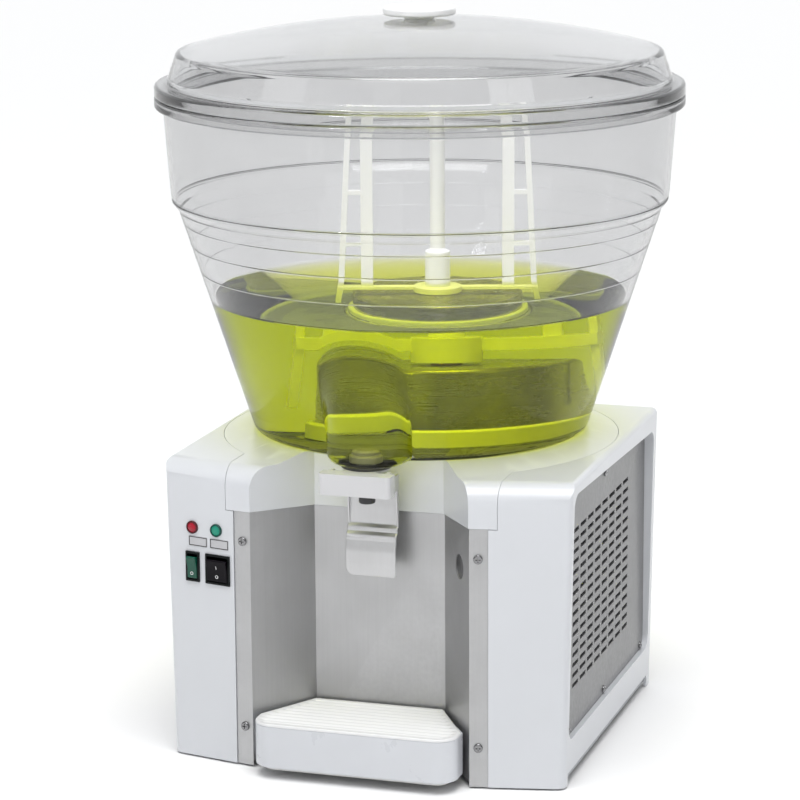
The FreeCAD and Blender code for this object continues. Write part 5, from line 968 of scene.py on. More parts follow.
def rounded(points: Pairs, radii: Sequence[float], steps: int = 6) -> Array:
    """Round the inner corners of an open path with arcs tangent to both its runs.

    Args:
        points: Corners of the path.
        radii: Radius at each corner, nought at the ends.
        steps: Parts of each arc.

    Returns:
        Points of the rounded path, one row each.
    """
    path = np.asarray(points, float)
    rows = [path[:1]]
    for index in range(1, len(path) - 1):
        before = path[index - 1] - path[index]
        after = path[index + 1] - path[index]
        runs = np.linalg.norm(before), np.linalg.norm(after)
        before, after = before / runs[0], after / runs[1]
        opening = math.acos(float(np.clip(before @ after, -1.0, 1.0)))
        radius = radii[index]
        if radius <= 0.0 or opening > math.pi - 1e-3:
            rows.append(path[index : index + 1])
            continue
        reach = min(radius / math.tan(opening / 2), 0.48 * min(runs))
        radius = reach * math.tan(opening / 2)
        middle = (before + after) / np.linalg.norm(before + after)
        centre = path[index] + middle * radius / math.sin(opening / 2)
        start = path[index] + before * reach - centre
        end = path[index] + after * reach - centre
        sweep = math.pi - opening
        shares = np.linspace(0.0, 1.0, steps + 1)[:, None]
        arc = (
            np.sin((1 - shares) * sweep) * start + np.sin(shares * sweep) * end
        ) / math.sin(sweep)
        rows.append(centre + arc)
    rows.append(path[-1:])
    return np.vstack(rows)


def resampled(path: Array, step: float, extra: Array | None = None) -> Array:
    """Add points to a path so that no run is longer than a step; corners are kept.

    Args:
        path: Points of the path.
        step: Longest run.
        extra: More distances along the path that get a point.

    Returns:
        The denser path.
    """
    runs = np.linalg.norm(np.diff(path, axis=0), axis=1)
    along = np.concatenate([[0.0], np.cumsum(runs)])
    stations = np.concatenate(
        [along, np.arange(0.0, along[-1], step), extra if extra is not None else []]
    )
    stations = np.unique(np.round(stations, 4))
    keep = np.concatenate([[True], np.diff(stations) > 1e-3])
    stations = stations[keep]
    return np.stack(
        [np.interp(stations, along, path[:, axis]) for axis in range(path.shape[1])], axis=1
    )


def grid_quads(rows: int, columns: int, wrap_rows: bool = False) -> Array:
    """List the four-sided faces of a grid of points that is stored row by row.

    The last column always meets the first, as round an axis.

    Args:
        rows: Number of rows.
        columns: Number of columns.
        wrap_rows: Whether the last row meets the first.

    Returns:
        One row of four point numbers per face.
    """
    number = np.arange(rows * columns).reshape(rows, columns)
    down = np.roll(number, -1, axis=0)
    across = np.roll(number, -1, axis=1)
    both = np.roll(down, -1, axis=1)
    quads = np.stack([number, across, both, down], axis=-1)
    quads = quads if wrap_rows else quads[:-1]
    return quads.reshape(-1, 4)


def turned(path: Array, count: int, centre: tuple[float, float] = (0.0, 0.0)) -> Array:
    """Turn a path about an upright axis: each point (r, z) becomes (r cos a, r sin a, z).

    Args:
        path: Radius and height of each point.
        count: Steps round the axis.
        centre: Place of the axis in plan.

    Returns:
        Grid of points, rows along the path and columns round the axis.
    """
    angles = np.linspace(0.0, 2 * math.pi, count, endpoint=False)
    x = centre[0] + path[:, :1] * np.cos(angles)
    y = centre[1] + path[:, :1] * np.sin(angles)
    z = np.broadcast_to(path[:, 1:2], x.shape)
    return np.stack([x, y, z], axis=-1)


def finished_mesh(
    name: str, points: Array, faces: Sequence[Sequence[int]], sharp: float
) -> bpy.types.Mesh:
    """Make a mesh, close its seams and poles and turn its faces outwards.

    Args:
        name: Name of the mesh.
        points: Points in millimetres.
        faces: Point numbers of each face.
        sharp: Angle in degrees above which an edge stays sharp.

    Returns:
        The mesh, in metres.
    """
    mesh = bpy.data.meshes.new(name)
    mesh.from_pydata((points.reshape(-1, 3) * MM).tolist(), [], [list(face) for face in faces])
    work = bmesh.new()
    work.from_mesh(mesh)
    bmesh.ops.remove_doubles(work, verts=work.verts, dist=WELD)
    bmesh.ops.dissolve_degenerate(work, edges=work.edges, dist=SLIVER)
    bmesh.ops.recalc_face_normals(work, faces=work.faces)
    shade(work, sharp)
    work.to_mesh(mesh)
    work.free()
    return mesh


def shade(work: bmesh.types.BMesh, sharp: float) -> None:
    """Shade the faces smooth and keep the steep edges sharp.

    Args:
        work: The mesh being worked on.
        sharp: Angle in degrees above which an edge stays sharp.
    """
    limit = math.radians(sharp)
    for face in work.faces:
        face.smooth = True
    for edge in work.edges:
        edge.smooth = edge.calc_face_angle(0.0) < limit


def add_bevel(
    piece: bpy.types.Object, width: float, segments: int = 2, limit: float = NODE_CREASE
) -> None:
    """Round the steep edges of a piece and even out its shading.

    Args:
        piece: The piece.
        width: Width of the rounding in millimetres.
        segments: Its steps.
        limit: Angle in degrees above which an edge is rounded.
    """
    bevel = piece.modifiers.new("rounded_edges", "BEVEL")
    bevel.width = width * MM
    bevel.segments = segments
    bevel.limit_method = "ANGLE"
    bevel.angle_limit = math.radians(limit)
    bevel.use_clamp_overlap = True
    bevel.harden_normals = True
    even = piece.modifiers.new("even_shading", "WEIGHTED_NORMAL")
    even.keep_sharp = True


def place(
    mesh: bpy.types.Mesh,
    finish: Finish,
    body: Body,
    slot: str | None = None,
    replaced: Sequence[str] = (),
) -> bpy.types.Object:
    """Put a mesh into the scene as a finished piece that rides on a body.

    Args:
        mesh: The mesh, already in place.
        finish: Its finish.
        body: The body that it rides on.
        slot: The record's material slot; not used.
        replaced: The nodes that it stands for.

    Returns:
        The piece.
    """
    piece = bpy.data.objects.new(mesh.name, mesh)
    bpy.context.scene.collection.objects.link(piece)
    mesh.materials.clear()
    mesh.materials.append(finish.material())
    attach(piece, body.value)
    if replaced:
        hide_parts(*replaced)
    LOG.info("%s: %d faces on %s", piece.name, len(mesh.polygons), body.value)
    return piece


class Model:
    """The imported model: its nodes, with calls that dress them."""

    def __init__(self) -> None:
        """Load the frame and note each node's body and slot."""
        self.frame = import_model()
        self.cad_box = [list(corner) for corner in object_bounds()]
        self.slots = {
            row["node"]: row["material_slot"] for row in self.frame["record"]["subparts"]
        }
        self.dressed: set[str] = set()

    def coat(self, node: str) -> None:
        """Give a carried-over node the finish of its slot and leave its shape alone.

        Args:
            node: The node.
        """
        material = BY_SLOT[self.slots[node]].material()
        for slot in self.frame["nodes"][node].material_slots:
            slot.material = material
        self.dressed.add(node)
        LOG.info("%s: finished as it is", node)

    def dress(
        self,
        node: str,
        width: float = 0.6,
        segments: int = 2,
        finish: Finish | None = None,
        limit: float = NODE_CREASE,
    ) -> bpy.types.Object:
        """Replace a node by a merged copy with rounded edges.

        Args:
            node: The node.
            width: Width of the rounding in millimetres.
            segments: Steps of the rounding.
            finish: Its finish, or none for the one of its slot.
            limit: Angle in degrees above which an edge is rounded.

        Returns:
            The new piece.
        """
        source = self.frame["nodes"][node]
        mesh = source.data.copy()
        mesh.name = f"{node}_rounded"
        work = bmesh.new()
        work.from_mesh(mesh)
        bmesh.ops.remove_doubles(work, verts=work.verts, dist=NODE_WELD)
        bmesh.ops.dissolve_limit(
            work,
            angle_limit=math.radians(FLAT),
            verts=work.verts,
            edges=work.edges,
            delimit={"NORMAL"},
        )
        shade(work, limit)
        work.to_mesh(mesh)
        work.free()
        self.dressed.add(node)
        body = Body(source["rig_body"])
        slot = self.slots[node]
        piece = place(mesh, finish or BY_SLOT[slot], body, slot, (node,))
        add_bevel(piece, width, segments, limit)
        return piece

    def coat_the_rest(self) -> None:
        """Finish every node that no piece has dressed yet."""
        for node in sorted(set(self.slots) - self.dressed):
            self.coat(node)


# ------------------------------------------------------------- sub-assemblies


@dataclass
class BowlShape:
    """Plan of the bowl: a cone with an upright round nose at its front."""

    wall: float = 4.0
    bottom: float = 313.0
    bottom_radius: float = 170.0
    step_z: float = 541.0
    step_radius: float = 244.0
    nose_y: float = -171.0
    nose_radius: float = 42.0
    nose_foot: float = 10.0
    nose_blend: float = 14.0
    nose_steps: int = 28
    round_steps: int = 118
    longest_run: float = 7.0

    def angles(self) -> Array:
        """Angles from the front, close together across the nose.

        On the nose they are those of points evenly spaced on its circle, seen from the bowl's
        axis: atan2(r sin t, c + r cos t).

        Returns:
            Angles once round, from the front.
        """
        reach = -self.nose_y
        last = math.pi / 2 + math.asin(self.nose_radius / reach)
        turn = np.linspace(0.0, last, self.nose_steps)
        nose = np.arctan2(self.nose_radius * np.sin(turn), reach + self.nose_radius * np.cos(turn))
        side = nose[-1] + np.array([0.004, 0.012, 0.026, 0.046])
        rest = np.linspace(side[-1] + 0.02, math.pi, self.round_steps)
        half = np.concatenate([nose, side, rest])
        return np.concatenate([half, -half[-2:0:-1]])

    def nose_reach(self, angles: Array, heights: Array, inset: float) -> Array:
        """Distance from the bowl's axis to the far side of the nose along each angle.

        With q = r^2 - (c sin a)^2 it is c cos a + sign(q) sqrt(|q|), where r shrinks in the
        rounded foot.

        Args:
            angles: Angles from the front.
            heights: Heights, one for each row.
            inset: How far the surface lies inside the outer one.

        Returns:
            Distances, one row for each height.
        """
        foot = self.nose_foot - inset
        sunk = np.clip(foot - (heights - self.bottom - inset), 0.0, foot)
        radius = self.nose_radius - inset - (foot - np.sqrt(foot**2 - sunk**2))
        reach = -self.nose_y
        under = radius[:, None] ** 2 - (reach * np.sin(angles)) ** 2
        along = reach * np.cos(angles) + np.sign(under) * np.sqrt(np.abs(under))
        return np.where(np.abs(angles) < math.pi / 2, along, 0.0)

    def rows(
        self, radii: Array, heights: Array, inset: Array, shares: Array | None = None
    ) -> Array:
        """Points of the bowl's surface: the larger of cone and nose, blended where they meet.

        The blend of a and b over a width k is max(a, b) + max(k - |a - b|, 0)^2 / 4k.

        Args:
            radii: Radius of the cone at each row.
            heights: Height of each row.
            inset: Depth inside the outer surface at each row.
            shares: Share of the way from the axis out to the surface at each row.

        Returns:
            Grid of points.
        """
        angles = self.angles()
        nose = np.where(
            (inset > self.wall / 2)[:, None],
            self.nose_reach(angles, heights, float(inset.max())),
            self.nose_reach(angles, heights, 0.0),
        )
        cone = radii[:, None]
        gap = np.maximum(self.nose_blend - np.abs(cone - nose), 0.0)
        reach = np.maximum(cone, nose) + gap**2 / (4 * self.nose_blend)
        if shares is not None:
            reach = reach * shares[:, None]
        x = reach * np.sin(angles)
        y = -reach * np.cos(angles)
        z = np.broadcast_to(heights[:, None], x.shape)
        return np.stack([x, y, z], axis=-1)


@dataclass
class Bowl:
    """Clear bowl: floor, cone with its nose, step, deep band and flange."""

    shape: BowlShape
    lip_radius: float = 250.2
    lip_z: float = 549.0
    band_radius: float = 251.3
    band_z: float = 557.0
    top_radius: float = 257.5
    flange_radius: float = 266.0
    flange_z: float = 643.0
    top: float = 654.0
    drum_y: float = 60.0
    drum_hole: float = 94.0
    tap_hole: float = 9.0
    tap_y: float = -180.0
    hole_steps: int = 96
    rim_land: float = 6.0
    nose_slack: float = 2.0
    floor_slope: float = 0.9
    heel: float = 9.0
    ring_rise: float = 0.24
    ring_width: float = 0.6
    groove_z: float = 551.5
    groove_depth: float = 1.1
    groove_width: float = 1.1
    rings: tuple[float, ...] = (478.0, 505.0, 528.0, 576.0, 597.0, 618.0, 637.0)

    def outer_path(self) -> Array:
        """Outer half section with its moulded level rings and the groove at the foot of its band.

        Each ring adds rise * max(0, 1 - ((z - z0) / width)^2) to the radius, and the groove takes
        its depth off in the same way.

        Returns:
            Points of the path.
        """
        shape = self.shape
        path = rounded(
            [
                (shape.bottom_radius - 3 * self.heel, shape.bottom),
                (shape.bottom_radius, shape.bottom),
                (shape.step_radius, shape.step_z),
                (self.lip_radius, self.lip_z),
                (self.band_radius, self.band_z),
                (self.top_radius, self.flange_z),
                (self.flange_radius, self.flange_z),
                (self.flange_radius, self.top),
                (self.flange_radius - self.rim_land, self.top),
            ],
            [0.0, self.heel, 2.0, 0.8, 1.5, 2.0, 2.2, 2.2, 0.0],
        )
        runs = np.linalg.norm(np.diff(path, axis=0), axis=1)
        along = np.concatenate([[0.0], np.cumsum(runs)])
        climbing = path[:, 1] < self.flange_z - 3.0
        centres = np.interp((*self.rings, self.groove_z), path[climbing, 1], along[climbing])
        offsets = np.linspace(-1.0, 1.0, 9) * max(self.ring_width, self.groove_width)
        path = resampled(path, shape.longest_run, (centres[:, None] + offsets).ravel())
        off = (path[:, 1:2] - np.array(self.rings)) / self.ring_width
        sunk = (path[:, 1] - self.groove_z) / self.groove_width
        path[:, 0] += self.ring_rise * np.maximum(0.0, 1.0 - off**2).sum(axis=1)
        path[:, 0] -= self.groove_depth * np.maximum(0.0, 1.0 - sunk**2)
        return path

    def inner_path(self) -> Array:
        """Inner half section from the rim down to the floor, as radius and height.

        Returns:
            Points of the path.
        """
        shape = self.shape
        wall = shape.wall
        path = rounded(
            [
                (self.flange_radius - self.rim_land, self.top),
                (self.top_radius - wall, self.top),
                (self.band_radius - wall, self.band_z),
                (self.lip_radius - wall, self.lip_z),
                (shape.step_radius - wall, shape.step_z),
                (shape.bottom_radius - wall, shape.bottom + wall),
                (shape.bottom_radius - wall - 3 * self.heel, shape.bottom + wall),
            ],
            [0.0, 1.2, 1.5, 0.8, 2.0, self.heel, 0.0],
        )
        return resampled(path, shape.longest_run)

    def wet(self, piece: bpy.types.Object, level: float) -> None:
        """Mark the inner faces below the juice as wetted, so that they bend light like a wet wall.

        An inner face is one whose normal points to the axis of the cone or of the nose, or up from
        the floor.

        Args:
            piece: The bowl.
            level: Height of the juice.
        """
        mesh = piece.data
        count = len(mesh.polygons)
        centre, normal = np.empty(3 * count, np.float32), np.empty(3 * count, np.float32)
        mesh.polygons.foreach_get("center", centre)
        mesh.polygons.foreach_get("normal", normal)
        centre, normal = centre.reshape(-1, 3) / MM, normal.reshape(-1, 3)
        from_nose = centre[:, :2] - np.array([0.0, self.shape.nose_y])
        near_nose = np.linalg.norm(from_nose, axis=1) < self.shape.nose_radius + self.nose_slack
        out = np.where(near_nose[:, None], from_nose, centre[:, :2])
        inward = (out * normal[:, :2]).sum(axis=1) < 0.0
        floor = normal[:, 2] > self.floor_slope
        mask = ((inward | floor) & (centre[:, 2] < level)).astype(np.float32)
        mesh.attributes.new(WETTED, "FLOAT", "FACE").data.foreach_set("value", mask)

    def build(self, level: float) -> bpy.types.Object:
        """Make the bowl as one closed wall.

        Args:
            level: Height of the juice in it.

        Returns:
            The piece.
        """
        outer = self.outer_path()
        inner = self.inner_path()
        path = np.vstack([outer, inner[1:]])
        inset = np.concatenate([np.zeros(len(outer)), np.full(len(inner) - 1, self.shape.wall)])
        skin = self.shape.rows(path[:, 0], path[:, 1], inset)
        rows, columns = skin.shape[:2]
        faces = grid_quads(rows, columns).tolist()
        points = [skin.reshape(-1, 3)]
        count = rows * columns
        angles = np.linspace(0.0, 2 * math.pi, self.hole_steps, endpoint=False)
        holes = ((self.drum_hole, self.drum_y), (self.tap_hole, self.tap_y))
        rims: list[list[int]] = []
        inside = self.shape.bottom + self.shape.wall
        for row, height in ((0, self.shape.bottom), (rows - 1, inside)):
            loops = [(skin[row], list(range(row * columns, (row + 1) * columns)))]
            for radius, y in holes:
                x, level_z = radius * np.cos(angles), np.full(len(angles), height)
                rim = np.stack([x, y + radius * np.sin(angles), level_z], axis=1)
                numbers = list(range(count, count + len(rim)))
                points.append(rim)
                loops.append((rim, numbers))
                rims.append(numbers)
                count += len(rim)
            order = [number for _, numbers in loops for number in numbers]
            outlines = [[Vector(point) for point in loop] for loop, _ in loops]
            faces += [
                [order[corner] for corner in corners] for corners in tessellate_polygon(outlines)
            ]
        for low, high in ((rims[0], rims[2]), (rims[1], rims[3])):
            faces += [
                [a, b, c, d]
                for a, b, c, d in zip(
                    low, low[1:] + low[:1], high[1:] + high[:1], high, strict=True
                )
            ]
        mesh = finished_mesh("clear_bowl_wall", np.vstack(points), faces, WALL_CREASE)
        piece = place(mesh, CLEAR_BOWL, Body.BOWL, "clear_bowl", ("bowl",))
        self.wet(piece, level)
        return piece


@dataclass
class Juice:
    """Juice in the bowl, pressed a little into the wall so that no air shows between them.

    Its faces that don't look up are marked as wetted: they lie against the wall.
    """

    shape: BowlShape
    level: float = 450.0
    press: float = 0.3
    climb: float = 2.2
    climb_width: float = 6.0
    side_rows: int = 28
    climb_rows: int = 9
    wall_slope: float = 0.2

    def build(self) -> bpy.types.Object:
        """Make the juice as one closed body with a raised rim where it meets the wall.

        Returns:
            The piece.
        """
        shape = self.shape
        inset = shape.wall - self.press
        floor = shape.bottom + inset
        rise = shape.step_z - shape.bottom - shape.wall
        slope = (shape.step_radius - shape.bottom_radius) / rise
        foot = np.concatenate([[floor], np.arange(floor + 1.0, floor + 9.0, 1.0)])
        side = np.linspace(floor + 10.0, self.level + self.climb, self.side_rows)
        heights = np.concatenate([foot, side])
        radii = shape.bottom_radius - inset + slope * (heights - floor)
        climbing = np.linspace(0.0, 1.0, self.climb_rows)[1:] * self.climb_width / radii[-1]
        inward = np.concatenate([climbing, [0.2, 0.6, 1.0]])
        left = np.maximum(0.0, 1.0 - inward * radii[-1] / self.climb_width)
        top = self.level + self.climb * left**2
        under = np.array([0.0, 0.5, 0.9])
        all_radii = np.concatenate([np.full(3, radii[0]), radii, np.full(len(top), radii[-1])])
        all_heights = np.concatenate([np.full(3, floor), heights, top])
        shares = np.concatenate([under, np.ones(len(radii)), 1.0 - inward])
        grid = shape.rows(all_radii, all_heights, np.full(len(all_radii), inset), shares)
        mesh = finished_mesh("juice", grid, grid_quads(*grid.shape[:2]), WALL_CREASE)
        count = len(mesh.polygons)
        normal = np.empty(3 * count, np.float32)
        mesh.polygons.foreach_get("normal", normal)
        mask = (normal.reshape(-1, 3)[:, 2] < self.wall_slope).astype(np.float32)
        mesh.attributes.new(WETTED, "FLOAT", "FACE").data.foreach_set("value", mask)
        return place(mesh, JUICE, Body.BOWL)


@dataclass
class Lid:
    """Clear lid with its flange, skirt and shallow dome, and the round knob on it."""

    radius: float = 266.0
    bottom: float = 654.3
    flange_top: float = 665.8
    skirt_radius: float = 253.0
    shoulder_radius: float = 243.5
    shoulder_z: float = 697.0
    crown: float = 728.0
    wall: float = 3.5
    spigot_radius: float = 250.0
    spigot_z: float = 646.3
    screw_hole: float = 3.0
    steps: int = 256
    dome_rows: int = 34
    inner_drop: float = 0.6
    longest_run: float = 6.0
    knob_radius: float = 36.5
    knob_low: float = 731.6
    knob_top: float = 739.6
    boss_radius: float = 15.0
    boss_low: float = 728.1
    knob_steps: int = 96
    dish: float = 0.9
    dip: float = 0.25
    dip_width: float = 0.9
    dips: tuple[float, ...] = (0.35, 0.62)

    def dome(self, reach: float, crown: float, edge: float) -> Array:
        """Half section of the dome: z = crown - R + sqrt(R^2 - r^2), from the middle to the edge.

        Args:
            reach: Radius of its edge.
            crown: Height of its middle.
            edge: Height of its edge.

        Returns:
            Points of the path.
        """
        drop = crown - edge
        sphere = (reach**2 + drop**2) / (2 * drop)
        radii = np.linspace(self.screw_hole, reach, self.dome_rows)
        return np.stack([radii, crown - sphere + np.sqrt(sphere**2 - radii**2)], axis=1)

    def build_cover(self) -> bpy.types.Object:
        """Make the clear cover as one turned wall.

        Returns:
            The piece.
        """
        wall = self.wall
        outer = self.dome(self.shoulder_radius, self.crown, self.shoulder_z)
        inner_z = self.shoulder_z - wall * self.inner_drop
        inner = self.dome(self.shoulder_radius - wall, self.crown - wall, inner_z)[::-1]
        corners = [
            tuple(outer[-2]),
            (self.shoulder_radius, self.shoulder_z),
            (self.skirt_radius - 1.2, self.flange_top + 7.0),
            (self.skirt_radius, self.flange_top + 5.5),
            (self.skirt_radius, self.flange_top),
            (self.radius, self.flange_top),
            (self.radius, self.bottom),
            (self.spigot_radius, self.bottom),
            (self.spigot_radius, self.spigot_z),
            (self.spigot_radius - wall, self.spigot_z),
            (self.skirt_radius - wall, self.flange_top - 1.0),
            (self.shoulder_radius - wall, inner_z),
            tuple(inner[1]),
        ]
        radii = [0.0, 6.0, 0.8, 0.8, 2.0, 3.2, 2.0, 1.0, 1.0, 1.0, 2.0, 3.0, 0.0]
        rim = resampled(rounded(corners, radii), self.longest_run)
        path = np.vstack([outer[:-2], rim, inner[2:]])
        grid = turned(path, self.steps)
        faces = grid_quads(*grid.shape[:2], wrap_rows=True)
        mesh = finished_mesh("clear_lid_cover", grid, faces, WALL_CREASE)
        return place(mesh, CLEAR_LID, Body.LID, "clear_lid", ("lid",))

    def build_knob(self) -> bpy.types.Object:
        """Make the knob: a disc with a shallow dished top, two fine rings and its boss.

        Returns:
            The piece.
        """
        radius = self.knob_radius
        corners = [
            (0.0, self.knob_top - self.dish),
            (radius - 9.0, self.knob_top - self.dish),
            (radius - 7.5, self.knob_top),
            (radius, self.knob_top),
            (radius, self.knob_low),
            (self.boss_radius + 1.5, self.knob_low),
            (self.boss_radius, self.boss_low),
            (self.boss_radius - 4.0, self.boss_low),
            (0.0, self.boss_low),
        ]
        path = rounded(corners, [0.0, 1.0, 1.0, 2.6, 2.6, 1.0, 0.6, 0.0, 0.0])
        path = resampled(path, 0.8)
        for ring in self.dips:
            near = np.maximum(0.0, 1.0 - ((path[:, 0] - ring * radius) / self.dip_width) ** 2)
            path[:, 1] -= np.where(path[:, 1] > self.knob_top - 1.5, self.dip * near, 0.0)
        grid = turned(path, self.knob_steps)
        mesh = finished_mesh("knob_disc", grid, grid_quads(*grid.shape[:2]), TURNED_CREASE)
        return place(mesh, KNOB_WHITE, Body.LID, "knob_white", ("lid_knob",))


@dataclass
class FrontPlane:
    """Left splayed front of the cabinet: places small parts by x, height and stand-off."""

    x: float = -177.2
    y: float = -195.639
    across: tuple[float, float] = (0.97693, -0.21354)
    out: tuple[float, float] = (-0.21354, -0.97693)

    def at(self, local: Array, x: float, z: float) -> Array:
        """Move points from the plane's own axes to the frame.

        Args:
            local: Points as across, out and up.
            x: Place across, as the frame's x on the plane.
            z: Height.

        Returns:
            Points in the frame.
        """
        travel = (x - self.x) / self.across[0]
        across = local[..., 0] + travel
        px = self.x + across * self.across[0] + local[..., 1] * self.out[0]
        py = self.y + across * self.across[1] + local[..., 1] * self.out[1]
        return np.stack([px, py, local[..., 2] + z], axis=-1)


@dataclass
class Controls:
    """Lamps, bare plates, switch frames, rockers and their marks."""

    plane: FrontPlane
    lamp_z: float = 239.5
    lamp_radius: float = 6.6
    lamp_steps: int = 72
    lens_radius: float = 5.3
    lens_rise: float = 3.3
    lens_fall: float = 0.62
    lens_rows: int = 12
    facets: int = 12
    facet_dip: float = 0.22
    facet_end: float = 0.97
    collar_lap: float = 0.3
    collar_rise: float = 2.0
    red_x: float = -177.2
    green_x: float = -149.8
    plate_x: tuple[float, float] = (-171.0, -146.6)
    plate_z: float = 225.6
    plate_half: tuple[float, float] = (10.4, 4.6)
    plate_margin: float = 0.5
    plate_squareness: float = 0.12
    plate_steps: int = 64
    border: float = 0.75
    border_low: float = 0.48
    border_high: float = 0.66
    switch_z: float = 199.4
    switch_x: tuple[float, float] = (-177.2, -148.5)
    valley: tuple[float, float] = (2.951, -0.696)
    top_face: tuple[float, float] = (0.2757, 0.9612)
    mark_steps: int = 40
    mark_lift: float = 0.12
    mark_sink: float = 0.02
    ring_radii: tuple[float, float] = (1.15, 1.75)
    bar_half: tuple[float, float] = (0.34, 1.7)

    def lamp(self, x: float, node: str, lens: Finish, bezel: Finish, slot: str) -> None:
        """Make one lamp: a faceted lens in a rounded dark collar.

        The lens stands out by rise * (1 - fall * (r / R)^2) and its facets dip by a small cosine.

        Args:
            x: Place across.
            node: The node that it stands for.
            lens: Finish of the lens.
            bezel: Finish of the collar.
            slot: The record's slot.
        """
        angles = np.linspace(0.0, 2 * math.pi, self.lamp_steps, endpoint=False)
        radii = np.linspace(0.0, self.lens_radius, self.lens_rows)[:, None]
        share = radii / self.lens_radius
        wave = 1 + np.cos(self.facets * angles)
        dip = self.facet_dip * share * wave * (share < self.facet_end)
        rise = self.lens_rise * (1.0 - self.lens_fall * share**2) - dip
        rise = np.vstack([rise, np.zeros((1, len(angles)))])
        radii = np.vstack([radii, radii[-1:]])
        local = np.stack([radii * np.cos(angles), rise, radii * np.sin(angles)], axis=-1)
        base = local[-1:] * np.array([0.0, 1.0, 0.0])
        grid = self.plane.at(np.vstack([local, base]), x, self.lamp_z)
        mesh = finished_mesh(f"{node}_lens", grid, grid_quads(*grid.shape[:2]), TURNED_CREASE)
        place(mesh, lens, Body.CABINET, slot, (node,))
        inner = self.lens_radius - self.collar_lap
        path = rounded(
            [
                (inner, 0.0),
                (inner, self.collar_rise),
                (self.lamp_radius, self.collar_rise),
                (self.lamp_radius, 0.0),
                (inner, 0.0),
            ],
            [0.0, 0.4, 0.8, 0.0, 0.0],
        )
        ring = turned(path, self.lamp_steps)
        local = np.stack([ring[..., 0], ring[..., 2], ring[..., 1]], axis=-1)
        grid = self.plane.at(local, x, self.lamp_z)
        mesh = finished_mesh(f"{node}_collar", grid, grid_quads(*grid.shape[:2]), TURNED_CREASE)
        place(mesh, bezel, Body.CABINET, slot)

    def plate(self, name: str, x: float, z: float, replaced: Sequence[str] = ()) -> None:
        """Make a bare plate with rounded corners and its thin raised border.

        Its outline is the superellipse (cos t, sin t), each part raised to a small power.

        Args:
            name: Name of the plate.
            x: Place across.
            z: Height.
            replaced: The nodes that it stands for.
        """
        count = self.plate_steps
        turn = np.linspace(0.0, 2 * math.pi, count, endpoint=False)
        circle = np.stack([np.cos(turn), np.sin(turn)], axis=1)
        unit = np.sign(circle.round(6)) * np.abs(circle) ** self.plate_squareness
        rows = [(1.0, 0.0), (1.0, 0.4), (0.98, 0.5), (0.0, 0.5)]
        plan = np.array(self.plate_half) + self.plate_margin
        layers = []
        for size, lift in rows:
            outline = unit * plan * size
            layers.append(np.column_stack([outline[:, 0], np.full(count, lift), outline[:, 1]]))
        grid = self.plane.at(np.stack(layers), x, z)
        faces = grid_quads(len(rows), count).tolist() + [list(range(count))]
        mesh = finished_mesh(name, grid, faces, WALL_CREASE)
        place(mesh, PLATE_GREY, Body.CABINET, "plate_grey", replaced)
        self.frame_ring(f"{name}_border", x, z)

    def frame_ring(self, name: str, x: float, z: float) -> None:
        """Make the thin raised border of a bare plate.

        Args:
            name: Name of the piece.
            x: Place across.
            z: Height.
        """
        half = np.array(self.plate_half)
        corners = np.array([[-1, -1], [1, -1], [1, 1], [-1, 1]])
        outer = corners * half
        inner = corners * (half - self.border)
        low = np.full((len(corners), 1), self.border_low)
        high = np.full((len(corners), 1), self.border_high)
        rows = [(outer, low), (outer, high), (inner, high), (inner, low)]
        local = np.stack([np.hstack([plan[:, :1], rise, plan[:, 1:]]) for plan, rise in rows])
        grid = self.plane.at(local, x, z)
        faces = grid_quads(*grid.shape[:2], wrap_rows=True)
        mesh = finished_mesh(name, grid, faces, THIN_CREASE)
        place(mesh, PLATE_LINE, Body.CABINET, "plate_grey")

    def mark(self, name: str, body: Body, x: float, kind: Mark, slot: str) -> None:
        """Make one switch mark as a thin raised shape on its rocker.

        The shape is a ring between two circles, or a circle pushed out to a square and stretched
        to a bar; four loops of it close round its edges.

        Args:
            name: Name of the piece.
            body: The rocker's body.
            x: Place across.
            kind: Which mark.
            slot: The record's slot.
        """
        angles = np.linspace(0.0, 2 * math.pi, self.mark_steps, endpoint=False)
        unit = np.stack([np.cos(angles), np.sin(angles)], axis=1)
        if kind is Mark.RING:
            inner, outer = (unit * radius for radius in self.ring_radii)
        else:
            square = unit / np.maximum(np.abs(unit[:, :1]), np.abs(unit[:, 1:]))
            outer = square * np.array(self.bar_half)
            inner = outer * 0.0
        up = np.array(self.top_face if kind is Mark.BAR else (0.0, 1.0))
        out = np.array([up[1], -up[0]])
        base = np.array(self.valley) + up * kind.value
        lift = self.mark_lift
        layers = []
        for plan, height in ((inner, 0.0), (inner, lift), (outer, lift), (outer, 0.0)):
            depth = base[0] + plan[:, 1] * up[0] + (height - self.mark_sink) * out[0]
            rise = base[1] + plan[:, 1] * up[1] + (height - self.mark_sink) * out[1]
            layers.append(np.stack([plan[:, 0], depth, rise], axis=1))
        grid = self.plane.at(np.stack(layers), x, self.switch_z)
        faces = grid_quads(*grid.shape[:2], wrap_rows=True)
        mesh = finished_mesh(name, grid, faces, WALL_CREASE)
        place(mesh, MARK_WHITE, body, slot)

